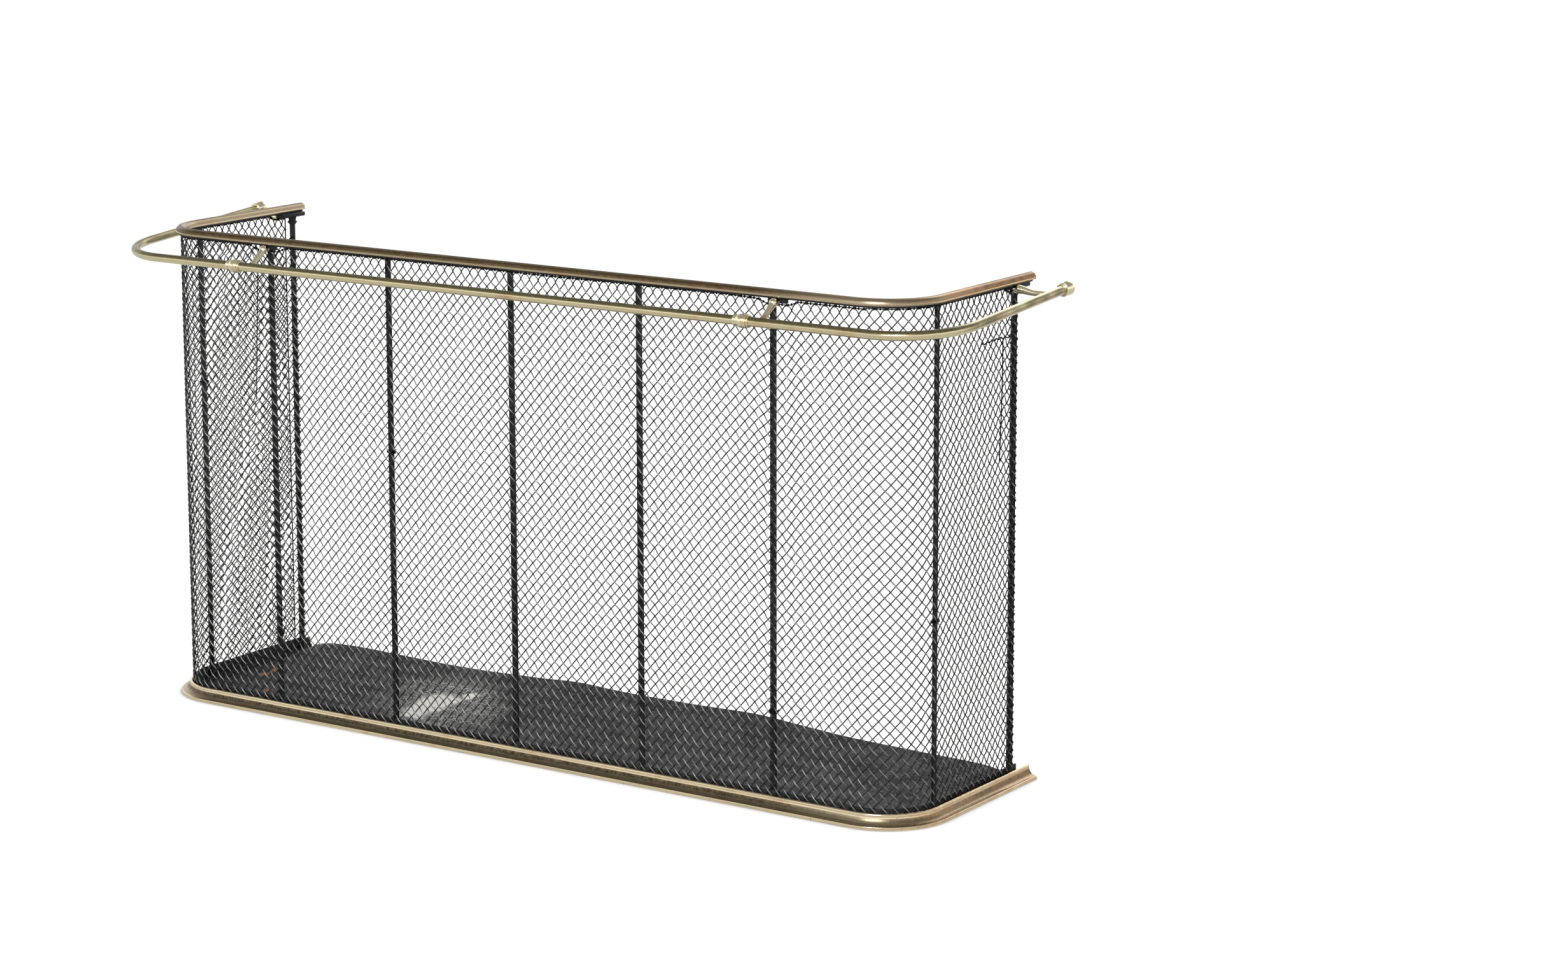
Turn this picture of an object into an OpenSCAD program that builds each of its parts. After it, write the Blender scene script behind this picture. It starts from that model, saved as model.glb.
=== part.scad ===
// Fire fender: a brass-railed guard of woven wire on an iron frame, open at the back.
// Millimetres. X runs along the hearth, Y from the front to the open back, Z up.
// Every ring-shaped piece is drawn by its offset from the mesh: u is outwards, z is up.
// The origin is on the hearth, under the middle of the whole fender.

/* [Guard] */
// Width over the wire mesh
guard_w = 1206; // [900:2:1600]
// Depth from the front mesh to the rear ends of the cap and the kerb
guard_d = 296; // [240:2:420]
// Height over the brass cap
guard_h = 660; // [450:5:800]
// Radius of the mesh at the two front corners
corner_r = 72; // [50:1:100]

/* [Kerb and floor] */
// Height of the brass kerb
kerb_h = 18; // [14:0.5:20]
// How far the kerb stands out from the mesh
kerb_out = 17; // [12:0.5:24]
// Height of the kerb's square bottom lip
kerb_lip_h = 4.5; // [3:0.5:6]
// Width of the step on top of that lip
kerb_lip_w = 1.6; // [1:0.2:2.6]
// Radius of the kerb's rounded top bead
kerb_bead_r = 2.2; // [1.4:0.2:3]
// Thickness of the kerb's sheet brass
kerb_sheet = 1.2; // [0.8:0.1:1.6]
// Width of the iron base bar under the floor
base_bar_w = 16; // [12:1:24]
// Thickness of the iron base bar
base_bar_h = 4.5; // [3:0.5:6]
// Thickness of the sheet-iron floor
floor_t = 1.5; // [1:0.25:3]
// How far the floor's rear edge stands in front of the kerb's rear ends
floor_setback = 22; // [14:1:40]
// Height of the iron angle round the floor's edge
angle_h = 17; // [12:0.5:24]
// Width of the angle's flat leg
angle_w = 15; // [13:0.5:20]
// Thickness of both legs of the angle
angle_t = 2.5; // [1.5:0.25:3]

/* [Stays and posts] */
// Distance between neighbouring front stays
stay_pitch = 203; // [140:1:230]
// Width of a flat stay
stay_w = 8.5; // [6:0.5:12]
// Thickness of a flat stay
stay_t = 3; // [2:0.25:4]
// Diameter of the round rear posts
post_d = 8; // [6:0.5:10]
// How far the posts' centres stand in front of the cap's rear ends
post_setback = 29; // [24:1:45]
// Diameter of the turned collar near the top of a post
post_collar_d = 14; // [11:0.5:16]
// Thickness of that collar
post_collar_h = 3; // [2:0.5:5]
// Clear length of post between the collar and the block above it
post_neck = 5; // [3:0.5:12]

/* [Cap] */
// Width of the brass cap
cap_w = 15; // [12:0.5:20]
// Height of the cap's square lower edge
cap_lip = 1.5; // [1:0.25:3]
// Width of the iron strap under the cap
strap_w = 12; // [10:0.5:16]
// Thickness of the iron strap
strap_t = 2.5; // [2:0.25:4]
// Thickness of the iron blocks that hold the brackets
block_h = 6; // [6:0.25:9]
// Length of a front block
front_block_l = 28; // [24:0.5:36]
// Length of a rear block
rear_block_l = 48; // [44:1:70]
// How far the rear blocks stop short of the cap's rear ends
rear_block_setback = 5; // [2:0.5:10]
// How far the blocks stand out beyond the mesh
block_proud = 1.3; // [1:0.1:3]

/* [Wire mesh] */
// Thickness of the mesh
mesh_t = 2; // [1.4:0.1:2.6]
// Width of one wire of the mesh
mesh_wire = 2.4; // [1.6:0.1:3.2]
// Width of one diamond, as near as whole diamonds allow
mesh_pitch_w = 62; // [48:1:90]
// Height of one diamond, as near as whole diamonds allow
mesh_pitch_h = 79; // [60:1:110]
// Diameter of the wires that bind the mesh's edges
selvedge_d = 2.8; // [2:0.1:3.5]
// How far the mesh's rear edge stands in front of the posts' centres
mesh_to_post = 8; // [7:0.5:14]
// Height of the ledge that the mesh stands on, above the floor's upper face
mesh_lift = 1.5; // [1:0.25:4]

/* [Outer rail] */
// Diameter of the brass rail
rail_d = 11.8; // [10:0.1:16]
// Wall of the rail's tube
rail_wall = 1.2; // [0.8:0.1:2]
// Height of the rail's centre at the front
rail_z = 623; // [400:1:770]
// Distance of the rail's centre from the front mesh
rail_gap_front = 37; // [30:1:70]
// Distance of the rail's centre from the side meshes
rail_gap_side = 62; // [34:1:80]
// Radius of the rail's bends, at its centre
rail_bend_r = 92; // [60:1:120]
// Climb of the right rail towards the back, in degrees
rail_climb_right = 4.2; // [0:0.1:4.8]
// Climb of the left rail towards the back, in degrees
rail_climb_left = 4.8; // [0:0.1:4.8]
// How far the side rails' ends stand in front of the cap's rear ends
rail_setback = 30; // [10:1:60]
// How far each collar stands to the left of its front bracket
collar_left_of_arm = 27; // [20:0.5:40]
// Length of a turned collar
collar_l = 22; // [12:0.5:24]
// Diameter of a collar over its end rings
collar_d = 18.4; // [17:0.1:24]
// Length of the spigot inside a collar
spigot_l = 40; // [24:1:60]
// Length of an end knob
knob_l = 20; // [12:0.5:26]
// Diameter of an end knob
knob_d = 18.6; // [17:0.1:24]

/* [Brackets] */
// Diameter of a bracket's ball end
ball_d = 12; // [10:0.1:13]
// Diameter of a front arm where it leaves the ball
arm_root_d = 8.8; // [7:0.1:9]
// Diameter of a front arm where it meets the rail
arm_tip_d = 7; // [4:0.1:7]
// How far the right front arm stands to the right of its stay
right_arm_off = 10; // [0:0.5:10]
// Diameter of a rear arm
rear_arm_d = 7; // [5:0.1:8]
// How far in front of the posts' centres the rear arms stand
rear_arm_to_post = 18; // [15:0.5:28]
// How far the rear arms' level stretch lies under the rail's centre
rear_arm_under = 3; // [0:0.1:3]

/* [Rivets] */
// Diameter of a rivet head
rivet_d = 5; // [3:0.1:6]
// Height of a rivet head
rivet_h = 1.6; // [1:0.1:2]
// Greatest distance between floor rivets along the front
floor_rivet_pitch = 180; // [100:5:260]

/* [Fits] */
// Play between pieces that slide over or into one another
fit = 0.1; // [0.05:0.05:0.2]
// Play between the mesh and what it stands against
mesh_play = 0.2; // [0.1:0.05:0.4]

/* [Hidden] */
$fn = 48;
brass = "#b39b5a";
iron = "#26272a";
sheet_iron = "#3a3a3c";
wire = "#2f3032";

// Offsets from the middle of the mesh, outwards
mesh_out = mesh_t / 2;
wall_u = mesh_out + mesh_play; // the kerb's inner face
angle_u = -mesh_out - mesh_play; // the angle's outer face
stay_u = angle_u - angle_t; // the stays' outer face
post_u = stay_u - post_d / 2 - fit; // the posts' centres
ledge_u = angle_u + fit; // inner edge of the ledge that the mesh stands on
half_w = guard_w / 2;

// Heights
floor_z = base_bar_h;
angle_z = floor_z + floor_t;
stay_z = angle_z + angle_t;
ledge_z = angle_z + mesh_lift;
cap_h = cap_lip + cap_w / 2;
cap_z = guard_h - cap_h;
strap_z = cap_z - strap_t;
block_z = strap_z - block_h;
mesh_z = ledge_z + mesh_play;
selvedge_z = block_z - selvedge_d / 2 - mesh_play;
mesh_top = selvedge_z - selvedge_d / 2;

// Places along Y, from the front mesh
floor_rear = guard_d - floor_setback;
post_y = guard_d - post_setback;
mesh_rear = post_y - mesh_to_post;
rear_arm_y = post_y - rear_arm_to_post;
front_y = -rail_gap_front - collar_d / 2; // the foremost point
mid_y = (front_y + guard_d) / 2; // the middle of the whole fender

// Strap and blocks
strap_out = stay_u - stay_t + strap_w; // the strap's outer face
block_u = mesh_out + block_proud; // the blocks' outer face
rear_block_in = post_u - post_d / 2; // the rear blocks' inner face
ball_z = block_z + block_h / 4;
ball_reach = sqrt(max(0, pow(ball_d / 2, 2) - pow(strap_z - ball_z, 2))); // ball's radius at the strap
ball_u = max(block_u + ball_d / 2, strap_out + ball_reach) + fit;

// Rail
rail_x = half_w + rail_gap_side; // centre of a side rail
bend_x = rail_x - rail_bend_r; // where the front rail's bends start
left_arm_x = -2 * stay_pitch; // the outer front stays carry the front brackets
right_arm_x = 2 * stay_pitch + right_arm_off;
left_collar_x = left_arm_x - collar_left_of_arm;
right_collar_x = right_arm_x - collar_left_of_arm;

// ---- Shapes that repeat ----

// Sweeps a profile (u outwards, z up) round the front and both sides, from rear end to rear end.
module sweep_round(rear) {
    translate([half_w - corner_r, 0, 0])
        rotate([90, 0, -90])
            linear_extrude(guard_w - 2 * corner_r) children();
    for (side = [0, 1])
        mirror([side, 0, 0]) {
            translate([half_w - corner_r, corner_r, 0])
                rotate([0, 0, 270])
                    rotate_extrude(angle = 90) translate([corner_r, 0]) children();
            translate([half_w, rear, 0])
                rotate([90, 0, 0])
                    linear_extrude(rear - corner_r) children();
        }
}

// A bar of rectangular section, by its inner and outer faces, bottom and height.
module bar_profile(u_in, u_out, z, h) {
    translate([u_in, z]) square([u_out - u_in, h]);
}

// An arc of points about a centre.
function arc_points(centre, r, from, to, steps) =
    [for (i = [0 : steps]) centre + r * [cos(from + (to - from) * i / steps),
                                         sin(from + (to - from) * i / steps)]];

// The kerb's face, from its inner top edge to its foot, pulled in by t.
function kerb_face(t) =
    let (
        bead = [wall_u + kerb_bead_r, kerb_h - kerb_bead_r],
        step_u = kerb_out - kerb_lip_w,
        hollow_w = step_u - bead[0] - kerb_bead_r,
        hollow_h = bead[1] - kerb_lip_h,
        squeeze = (hollow_h + t) / (hollow_w + t)
    )
    concat(
        arc_points(bead, kerb_bead_r - t, 180, 0, 8),
        [for (p = arc_points([0, 0], hollow_w + t, 180, 270, 10))
            [step_u + p[0], bead[1] + p[1] * squeeze]],
        [[kerb_out - t, kerb_lip_h - t], [kerb_out - t, 0]]
    );

// A ring of tube wall.
module tube_profile() {
    difference() {
        circle(d = rail_d);
        circle(d = rail_d - 2 * rail_wall);
    }
}

// A flat iron stay, standing behind the mesh, its width across the view.
module stay() {
    translate([-stay_w / 2, -stay_u, stay_z])
        cube([stay_w, stay_t, strap_z - stay_z]);
}

// Puts a piece made for the front face onto the right side, at a distance from the front.
module on_right_side(y) {
    translate([half_w, y, 0]) rotate([0, 0, 90]) children();
}

// ---- Kerb, floor and iron base ----

module kerb_moulding() {
    inner = kerb_face(kerb_sheet);
    color(brass)
        sweep_round(guard_d)
            polygon(concat(
                [[ledge_u, 0], [ledge_u, ledge_z], [wall_u, ledge_z]],
                kerb_face(0),
                [for (i = [len(inner) - 1 : -1 : 0]) inner[i]],
                [[wall_u + kerb_sheet, ledge_z - kerb_sheet],
                 [ledge_u + kerb_sheet, ledge_z - kerb_sheet],
                 [ledge_u + kerb_sheet, 0]]
            ));
}

module base_bar() {
    color(iron)
        sweep_round(floor_rear) bar_profile(angle_u - base_bar_w, angle_u, 0, base_bar_h);
}

module floor_plate() {
    color(sheet_iron)
        translate([0, 0, floor_z])
            linear_extrude(floor_t)
                difference() {
                    union() {
                        translate([-half_w - angle_u, corner_r])
                            square([guard_w + 2 * angle_u, floor_rear - corner_r]);
                        translate([-half_w + corner_r, -angle_u])
                            square([guard_w - 2 * corner_r, corner_r]);
                        for (side = [-1, 1])
                            translate([side * (half_w - corner_r), corner_r])
                                circle(r = corner_r + angle_u);
                    }
                    translate([-guard_w, floor_rear]) square([2 * guard_w, guard_d]);
                }
}

module base_angle() {
    color(iron)
        sweep_round(floor_rear)
            polygon([
                [angle_u, angle_z],
                [angle_u, angle_z + angle_h],
                [stay_u, angle_z + angle_h],
                [stay_u, angle_z + angle_t],
                [angle_u - angle_w, angle_z + angle_t],
                [angle_u - angle_w, angle_z]
            ]);
}

// ---- Stays and posts ----

module front_stay(i) {
    color(iron) translate([(i - 3) * stay_pitch, 0, 0]) stay();
}

module corner_stay_right() {
    color(iron) on_right_side(corner_r + stay_w / 2) stay();
}

module corner_stay_left() {
    mirror([1, 0, 0]) corner_stay_right();
}

module rear_post_right() {
    collar_z = block_z - post_neck - post_collar_h;
    color(iron)
        translate([half_w + post_u, post_y, 0]) {
            translate([0, 0, stay_z]) cylinder(d = post_d, h = block_z - stay_z);
            translate([0, 0, collar_z]) cylinder(d = post_collar_d, h = post_collar_h);
        }
}

module rear_post_left() {
    mirror([1, 0, 0]) rear_post_right();
}

// ---- Top strap, cap and blocks ----

module top_strap() {
    color(iron)
        sweep_round(guard_d - rear_block_setback)
            bar_profile(stay_u - stay_t, strap_out, strap_z, strap_t);
}

module cap_rail() {
    color(brass)
        sweep_round(guard_d)
            translate([0, cap_z]) {
                translate([-cap_w / 2, 0]) square([cap_w, cap_lip]);
                translate([0, cap_lip])
                    intersection() {
                        circle(d = cap_w);
                        translate([-cap_w, 0]) square([2 * cap_w, cap_w]);
                    }
            }
}

module front_block(x) {
    color(iron)
        translate([x - front_block_l / 2, -block_u, block_z])
            cube([front_block_l, block_u - stay_u, block_h]);
}

module rear_block_right() {
    color(iron)
        translate([half_w + rear_block_in, guard_d - rear_block_setback - rear_block_l, block_z])
            cube([block_u - rear_block_in, rear_block_l, block_h]);
}

module rear_block_left() {
    mirror([1, 0, 0]) rear_block_right();
}

// ---- Brackets ----

// A ball end with its neck against the block, for a bracket whose outward direction is -Y.
module ball_end() {
    translate([0, -ball_u, ball_z]) sphere(d = ball_d);
    translate([0, -block_u, ball_z]) rotate([90, 0, 0]) cylinder(d = ball_d / 2, h = ball_u - block_u);
}

module front_arm(x) {
    reach = rail_gap_front - ball_u;
    drop = ball_z - rail_z;
    color(brass)
        translate([x, 0, 0])
            difference() {
                union() {
                    ball_end();
                    translate([0, -ball_u, ball_z])
                        rotate([90 + atan2(drop, reach), 0, 0])
                            cylinder(d1 = arm_root_d, d2 = arm_tip_d, h = norm([reach, drop]));
                }
                translate([-ball_d, -rail_gap_front, rail_z])
                    rotate([0, 90, 0])
                        cylinder(d = rail_d + 2 * fit, h = 2 * ball_d);
            }
}

// A rear arm as it stands on the right side, under a rail that climbs at a given angle.
module rear_arm(climb) {
    rail_here_z = rail_z + (rear_arm_y + rail_gap_front) * tan(climb);
    level_z = rail_here_z - rear_arm_under;
    elbow_u = ball_u + (rail_gap_side - ball_u) / 3;
    slope_l = norm([elbow_u - ball_u, ball_z - level_z]);
    knuckle = 0.6;
    color(brass)
        difference() {
            on_right_side(rear_arm_y) {
                ball_end();
                translate([0, -ball_u, ball_z])
                    rotate([90 + atan2(ball_z - level_z, elbow_u - ball_u), 0, 0])
                        cylinder(d = rear_arm_d, h = slope_l);
                translate([0, -elbow_u, level_z]) sphere(d = rear_arm_d + knuckle);
                translate([0, -elbow_u, level_z])
                    rotate([90, 0, 0]) cylinder(d = rear_arm_d, h = rail_gap_side - elbow_u);
            }
            in_rail_frame(climb)
                translate([rail_x, rail_bend_r, 0])
                    rotate([-90, 0, 0]) cylinder(d = rail_d + 2 * fit, h = side_rail_l(climb));
        }
}

module rear_arm_right() {
    rear_arm(rail_climb_right);
}

module rear_arm_left() {
    mirror([1, 0, 0]) rear_arm(rail_climb_left);
}

// ---- Outer rail ----

// Length of a side rail behind its bend, at a given climb.
function side_rail_l(climb) = (guard_d - rail_setback + rail_gap_front) / cos(climb) - rail_bend_r;

// A bent rail is drawn flat and turned up about the front rail's own axis.
module in_rail_frame(climb) {
    translate([0, -rail_gap_front, rail_z]) rotate([climb, 0, 0]) children();
}

// A bent rail as it stands on the right, from its end in the collar.
module bent_rail(from_x, climb) {
    in_rail_frame(climb) {
        translate([from_x, 0, 0])
            rotate([0, 90, 0]) linear_extrude(bend_x - from_x) tube_profile();
        translate([bend_x, rail_bend_r, 0])
            rotate([0, 0, 270])
                rotate_extrude(angle = 90) translate([rail_bend_r, 0]) tube_profile();
        translate([rail_x, rail_bend_r, 0])
            rotate([-90, 0, 0]) linear_extrude(side_rail_l(climb)) tube_profile();
    }
}

module rail_middle() {
    color(brass)
        translate([left_collar_x + fit, -rail_gap_front, rail_z])
            rotate([0, 90, 0])
                linear_extrude(right_collar_x - left_collar_x - 2 * fit) tube_profile();
}

module rail_right() {
    color(brass) bent_rail(right_collar_x, rail_climb_right);
}

module rail_left() {
    color(brass) mirror([1, 0, 0]) bent_rail(-left_collar_x, rail_climb_left);
}

// A turned collar round the joint of two rails: two rings with a swelling barrel between.
module rail_collar(x) {
    bore_r = rail_d / 2 + fit;
    ring_w = collar_l * 0.2;
    ring_r = collar_d / 2;
    waist_r = bore_r + (ring_r - bore_r) * 0.45;
    swell = (ring_r - waist_r) * 0.7;
    color(brass)
        translate([x - collar_l / 2, -rail_gap_front, rail_z])
            rotate([0, 90, 0])
                rotate_extrude()
                    polygon(concat(
                        [[bore_r, 0]],
                        arc_points([ring_r - ring_w / 2, ring_w / 2], ring_w / 2, -90, 90, 6),
                        [for (i = [0 : 8])
                            [waist_r + swell * sin(180 * i / 8),
                             ring_w + (collar_l - 2 * ring_w) * i / 8]],
                        arc_points([ring_r - ring_w / 2, collar_l - ring_w / 2], ring_w / 2,
                                   -90, 90, 6),
                        [[bore_r, collar_l]]
                    ));
}

module rail_spigot(x) {
    color(iron)
        translate([x - spigot_l / 2, -rail_gap_front, rail_z])
            rotate([0, 90, 0]) cylinder(d = rail_d - 2 * rail_wall - 2 * fit, h = spigot_l);
}

// A turned knob with a stem inside the rail: ring, barrel, ring and a low dome.
module end_knob(climb) {
    ring_w = knob_l * 0.17;
    ring_r = knob_d / 2;
    barrel_r = ring_r * 0.8;
    dome_h = knob_l * 0.14;
    flat_l = knob_l - dome_h;
    stem_l = knob_l * 0.8;
    color(brass)
        in_rail_frame(climb)
            translate([rail_x, rail_bend_r + side_rail_l(climb), 0])
                rotate([-90, 0, 0]) {
                    rotate_extrude()
                        polygon(concat(
                            [[0, 0]],
                            arc_points([ring_r - ring_w / 2, ring_w / 2], ring_w / 2, -90, 90, 6),
                            [for (i = [0 : 8])
                                [barrel_r + (ring_r - barrel_r) * 0.4 * sin(180 * i / 8),
                                 ring_w + (flat_l - 2 * ring_w) * i / 8]],
                            arc_points([ring_r - ring_w / 2, flat_l - ring_w / 2], ring_w / 2,
                                       -90, 90, 6),
                            [for (i = [0 : 6])
                                [(ring_r - ring_w / 2) * cos(90 * i / 6),
                                 flat_l + dome_h * sin(90 * i / 6)]]
                        ));
                    translate([0, 0, -stem_l])
                        cylinder(d = rail_d - 2 * rail_wall - 2 * fit, h = stem_l);
                }
}

module end_knob_right() {
    end_knob(rail_climb_right);
}

module end_knob_left() {
    mirror([1, 0, 0]) end_knob(rail_climb_left);
}

// ---- Wire mesh ----

corner_folds = 12; // flat strips that a corner's mesh is folded into

function whole_diamonds(length, pitch) = max(1, round(length / pitch));

// Diamond openings that fill a width with n columns and the mesh's height with m rows.
// Each is given by its centre and half sizes, a wire's width smaller than its cell.
function cell_centres(n, m, cell_w, cell_h) = concat(
    [for (i = [0 : n - 1], j = [0 : m]) [(i + 0.5) * cell_w, j * cell_h]],
    [for (i = [0 : n], j = [0 : m - 1]) [i * cell_w, (j + 0.5) * cell_h]]
);

module diamond(cell_w, cell_h) {
    slant = norm([cell_w, cell_h]);
    half = [cell_w / 2 - mesh_wire * slant / cell_h / 2, cell_h / 2 - mesh_wire * slant / cell_w / 2];
    polygon([[half[0], 0], [0, half[1]], [-half[0], 0], [0, -half[1]]]);
}

// A flat stretch of mesh, standing on the XZ plane from the origin, its thickness about Y = 0.
module flat_mesh(length) {
    mesh_h = mesh_top - mesh_z;
    n = whole_diamonds(length, mesh_pitch_w);
    m = whole_diamonds(mesh_h, mesh_pitch_h);
    cell_w = length / n;
    cell_h = mesh_h / m;
    translate([0, mesh_out, mesh_z])
        rotate([90, 0, 0])
            linear_extrude(mesh_t)
                difference() {
                    square([length, mesh_h]);
                    for (c = cell_centres(n, m, cell_w, cell_h))
                        translate(c) diamond(cell_w, cell_h);
                }
}

module mesh_front() {
    color(wire)
        translate([-half_w + corner_r, 0, 0]) flat_mesh(guard_w - 2 * corner_r);
}

module mesh_right() {
    color(wire)
        translate([half_w, corner_r, 0])
            rotate([0, 0, 90]) flat_mesh(mesh_rear - corner_r);
}

module mesh_left() {
    mirror([1, 0, 0]) mesh_right();
}

module mesh_corner_right() {
    mesh_h = mesh_top - mesh_z;
    n = whole_diamonds(corner_r * PI / 2, mesh_pitch_w);
    m = whole_diamonds(mesh_h, mesh_pitch_h);
    cell_w = corner_r * PI / 2 / n;
    cell_h = mesh_h / m;
    color(wire)
        translate([half_w - corner_r, corner_r, mesh_z])
            difference() {
                linear_extrude(mesh_h)
                    polygon(concat(
                        arc_points([0, 0], corner_r + mesh_out, -90, 0, corner_folds),
                        arc_points([0, 0], corner_r - mesh_out, 0, -90, corner_folds)
                    ));
                for (c = cell_centres(n, m, cell_w, cell_h))
                    rotate([0, 0, -90 + c[0] / corner_r * 180 / PI])
                        translate([corner_r / 2, 0, c[1]])
                            rotate([90, 0, 90]) linear_extrude(corner_r) diamond(cell_w, cell_h);
            }
}

module mesh_corner_left() {
    mirror([1, 0, 0]) mesh_corner_right();
}

module top_selvedge() {
    color(wire)
        sweep_round(mesh_rear) translate([0, selvedge_z]) circle(d = selvedge_d);
}

module rear_selvedges() {
    foot_z = max(kerb_h, angle_z + angle_h) + mesh_play; // clear of the slot that the mesh stands in
    color(wire)
        for (side = [-1, 1])
            translate([side * half_w, mesh_rear + selvedge_d / 2, foot_z])
                cylinder(d = selvedge_d, h = mesh_top - foot_z);
}

// ---- Rivets ----

// A low round head standing on the XY plane.
module rivet_head() {
    ball_r = (pow(rivet_d / 2, 2) + pow(rivet_h, 2)) / (2 * rivet_h);
    intersection() {
        translate([0, 0, rivet_h - ball_r]) sphere(r = ball_r);
        cylinder(d = rivet_d, h = 2 * rivet_h);
    }
}

module stay_rivets() {
    rivet_z = stay_z + (angle_h - angle_t) / 2;
    color(iron) {
        for (i = [-2 : 2])
            translate([i * stay_pitch, -stay_u + stay_t, rivet_z])
                rotate([-90, 0, 0]) rivet_head();
        for (side = [0, 1])
            mirror([side, 0, 0])
                translate([half_w + stay_u - stay_t, corner_r + stay_w / 2, rivet_z])
                    rotate([0, -90, 0]) rivet_head();
    }
}

module floor_rivets() {
    leg_u = (stay_u - stay_t + angle_u - angle_w) / 2; // the middle of the bare part of the flat leg
    span = guard_w - 2 * corner_r;
    gaps = ceil(span / floor_rivet_pitch);
    color(iron) {
        for (i = [0 : gaps])
            translate([-span / 2 + span * i / gaps, -leg_u, stay_z]) rivet_head();
        for (side = [-1, 1], y = [corner_r + 3 * stay_w, post_y - post_d / 2 - rivet_d])
            translate([side * (half_w + leg_u), y, stay_z]) rivet_head();
    }
}

// ---- The fender ----

translate([0, -mid_y, 0]) {
    kerb_moulding();
    base_bar();
    floor_plate();
    base_angle();
    front_stay(1);  // front_stay_1
    front_stay(2);  // front_stay_2
    front_stay(3);  // front_stay_3
    front_stay(4);  // front_stay_4
    front_stay(5);  // front_stay_5
    corner_stay_left();
    corner_stay_right();
    rear_post_left();
    rear_post_right();
    top_strap();
    cap_rail();
    front_block(left_arm_x);  // front_block_left
    front_block(right_arm_x);  // front_block_right
    rear_block_left();
    rear_block_right();
    front_arm(left_arm_x);  // front_arm_left
    front_arm(right_arm_x);  // front_arm_right
    rear_arm_left();
    rear_arm_right();
    rail_middle();
    rail_left();
    rail_right();
    rail_collar(left_collar_x);  // rail_collar_left
    rail_collar(right_collar_x);  // rail_collar_right
    rail_spigot(left_collar_x);  // rail_spigot_left
    rail_spigot(right_collar_x);  // rail_spigot_right
    end_knob_left();
    end_knob_right();
    mesh_front();
    mesh_corner_left();
    mesh_corner_right();
    mesh_left();
    mesh_right();
    top_selvedge();
    rear_selvedges();
    stay_rivets();
    floor_rivets();
}
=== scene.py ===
"""Looks of the fire fender: aged brass mouldings and rail, black iron frame, woven wire guard.

Metres. X runs along the hearth, Y from the front to the open back, Z up. Pieces that go round
the guard are drawn by their offset u outwards from the mesh and their height z, as in the
construction model, and the way round is measured from the left rear end to the right one.
"""

import logging
import math
from dataclasses import dataclass
from enum import Enum
from typing import Callable, Iterable, Sequence

import bmesh
import bpy
from mathutils import Matrix, Vector, noise

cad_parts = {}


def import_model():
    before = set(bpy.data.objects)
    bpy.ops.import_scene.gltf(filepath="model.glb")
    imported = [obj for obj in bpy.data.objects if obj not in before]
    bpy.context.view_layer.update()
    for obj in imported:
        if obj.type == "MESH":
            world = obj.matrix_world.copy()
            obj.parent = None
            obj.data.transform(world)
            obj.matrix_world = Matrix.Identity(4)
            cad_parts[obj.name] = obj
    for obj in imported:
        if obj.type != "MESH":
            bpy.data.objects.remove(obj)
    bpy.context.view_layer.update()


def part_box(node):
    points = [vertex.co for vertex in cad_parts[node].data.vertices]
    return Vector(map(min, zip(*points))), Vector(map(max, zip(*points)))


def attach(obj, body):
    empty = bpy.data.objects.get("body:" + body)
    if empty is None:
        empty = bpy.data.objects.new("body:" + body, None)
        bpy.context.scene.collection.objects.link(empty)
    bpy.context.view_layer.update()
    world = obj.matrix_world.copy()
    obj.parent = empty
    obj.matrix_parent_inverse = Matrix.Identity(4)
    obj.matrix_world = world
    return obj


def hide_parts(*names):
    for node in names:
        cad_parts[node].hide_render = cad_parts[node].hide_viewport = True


LOG = logging.getLogger("fender")
MERGE = 1e-6  # vertices closer than this are one
STRAIGHT_STEP = 0.03  # longest step of a section swept along a straight

BMesh = bmesh.types.BMesh
Material = bpy.types.Material
Mesh = bpy.types.Mesh
Node = bpy.types.Node
Socket = bpy.types.NodeSocket
Tree = bpy.types.NodeTree
Section = Sequence[tuple[float, float]]
Colour = tuple[float, float, float]
Runs = Sequence[tuple[Sequence[Vector], Sequence[float]]]


class Side(Enum):
    """A side of the fender, by the sign of X."""

    LEFT = -1
    RIGHT = 1

    def of(self, piece: str) -> str:
        """Names the piece of this side, as in rear_post_left."""
        return f"{piece}_{self.name.lower()}"


class Slot(Enum):
    """The record's material slots."""

    KERB = "kerb_brass"
    CAP = "cap_brass"
    RAIL = "rail_brass"
    FRAME = "frame_iron"
    BASE = "base_iron"
    FLOOR = "floor_iron"
    MESH = "mesh_wire"


class Lay(Enum):
    """The way a wire of the woven guard leans, seen from outside."""

    RISING = 1
    FALLING = -1


# ---- Where everything stands ----


@dataclass(frozen=True)
class GuardFrame:
    """The guard's leading sizes, read from the construction model's boxes."""

    half_w: float
    front_y: float
    corner_r: float
    mesh_rear: float
    mesh_foot: float
    mesh_top: float
    cap_rear: float

    @classmethod
    def read(cls) -> "GuardFrame":
        """Reads the guard's sizes from the mesh and the cap.

        Returns:
            The leading sizes, in metres.
        """
        front_lo, front_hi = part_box("mesh_front")
        left_lo, left_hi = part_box("mesh_left")
        half_w = -(left_lo.x + left_hi.x) / 2
        return cls(
            half_w=half_w,
            front_y=(front_lo.y + front_hi.y) / 2,
            corner_r=half_w - front_hi.x,
            mesh_rear=left_hi.y,
            mesh_foot=front_lo.z,
            mesh_top=front_hi.z,
            cap_rear=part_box("cap_rail")[1].y,
        )

    def off_right_corner(self, p: Vector) -> float:
        """Gives how far a point is from the right front corner."""
        return math.hypot(p.x - (self.half_w - self.corner_r), max(0.0, p.y - self.front_y - self.corner_r))


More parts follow.
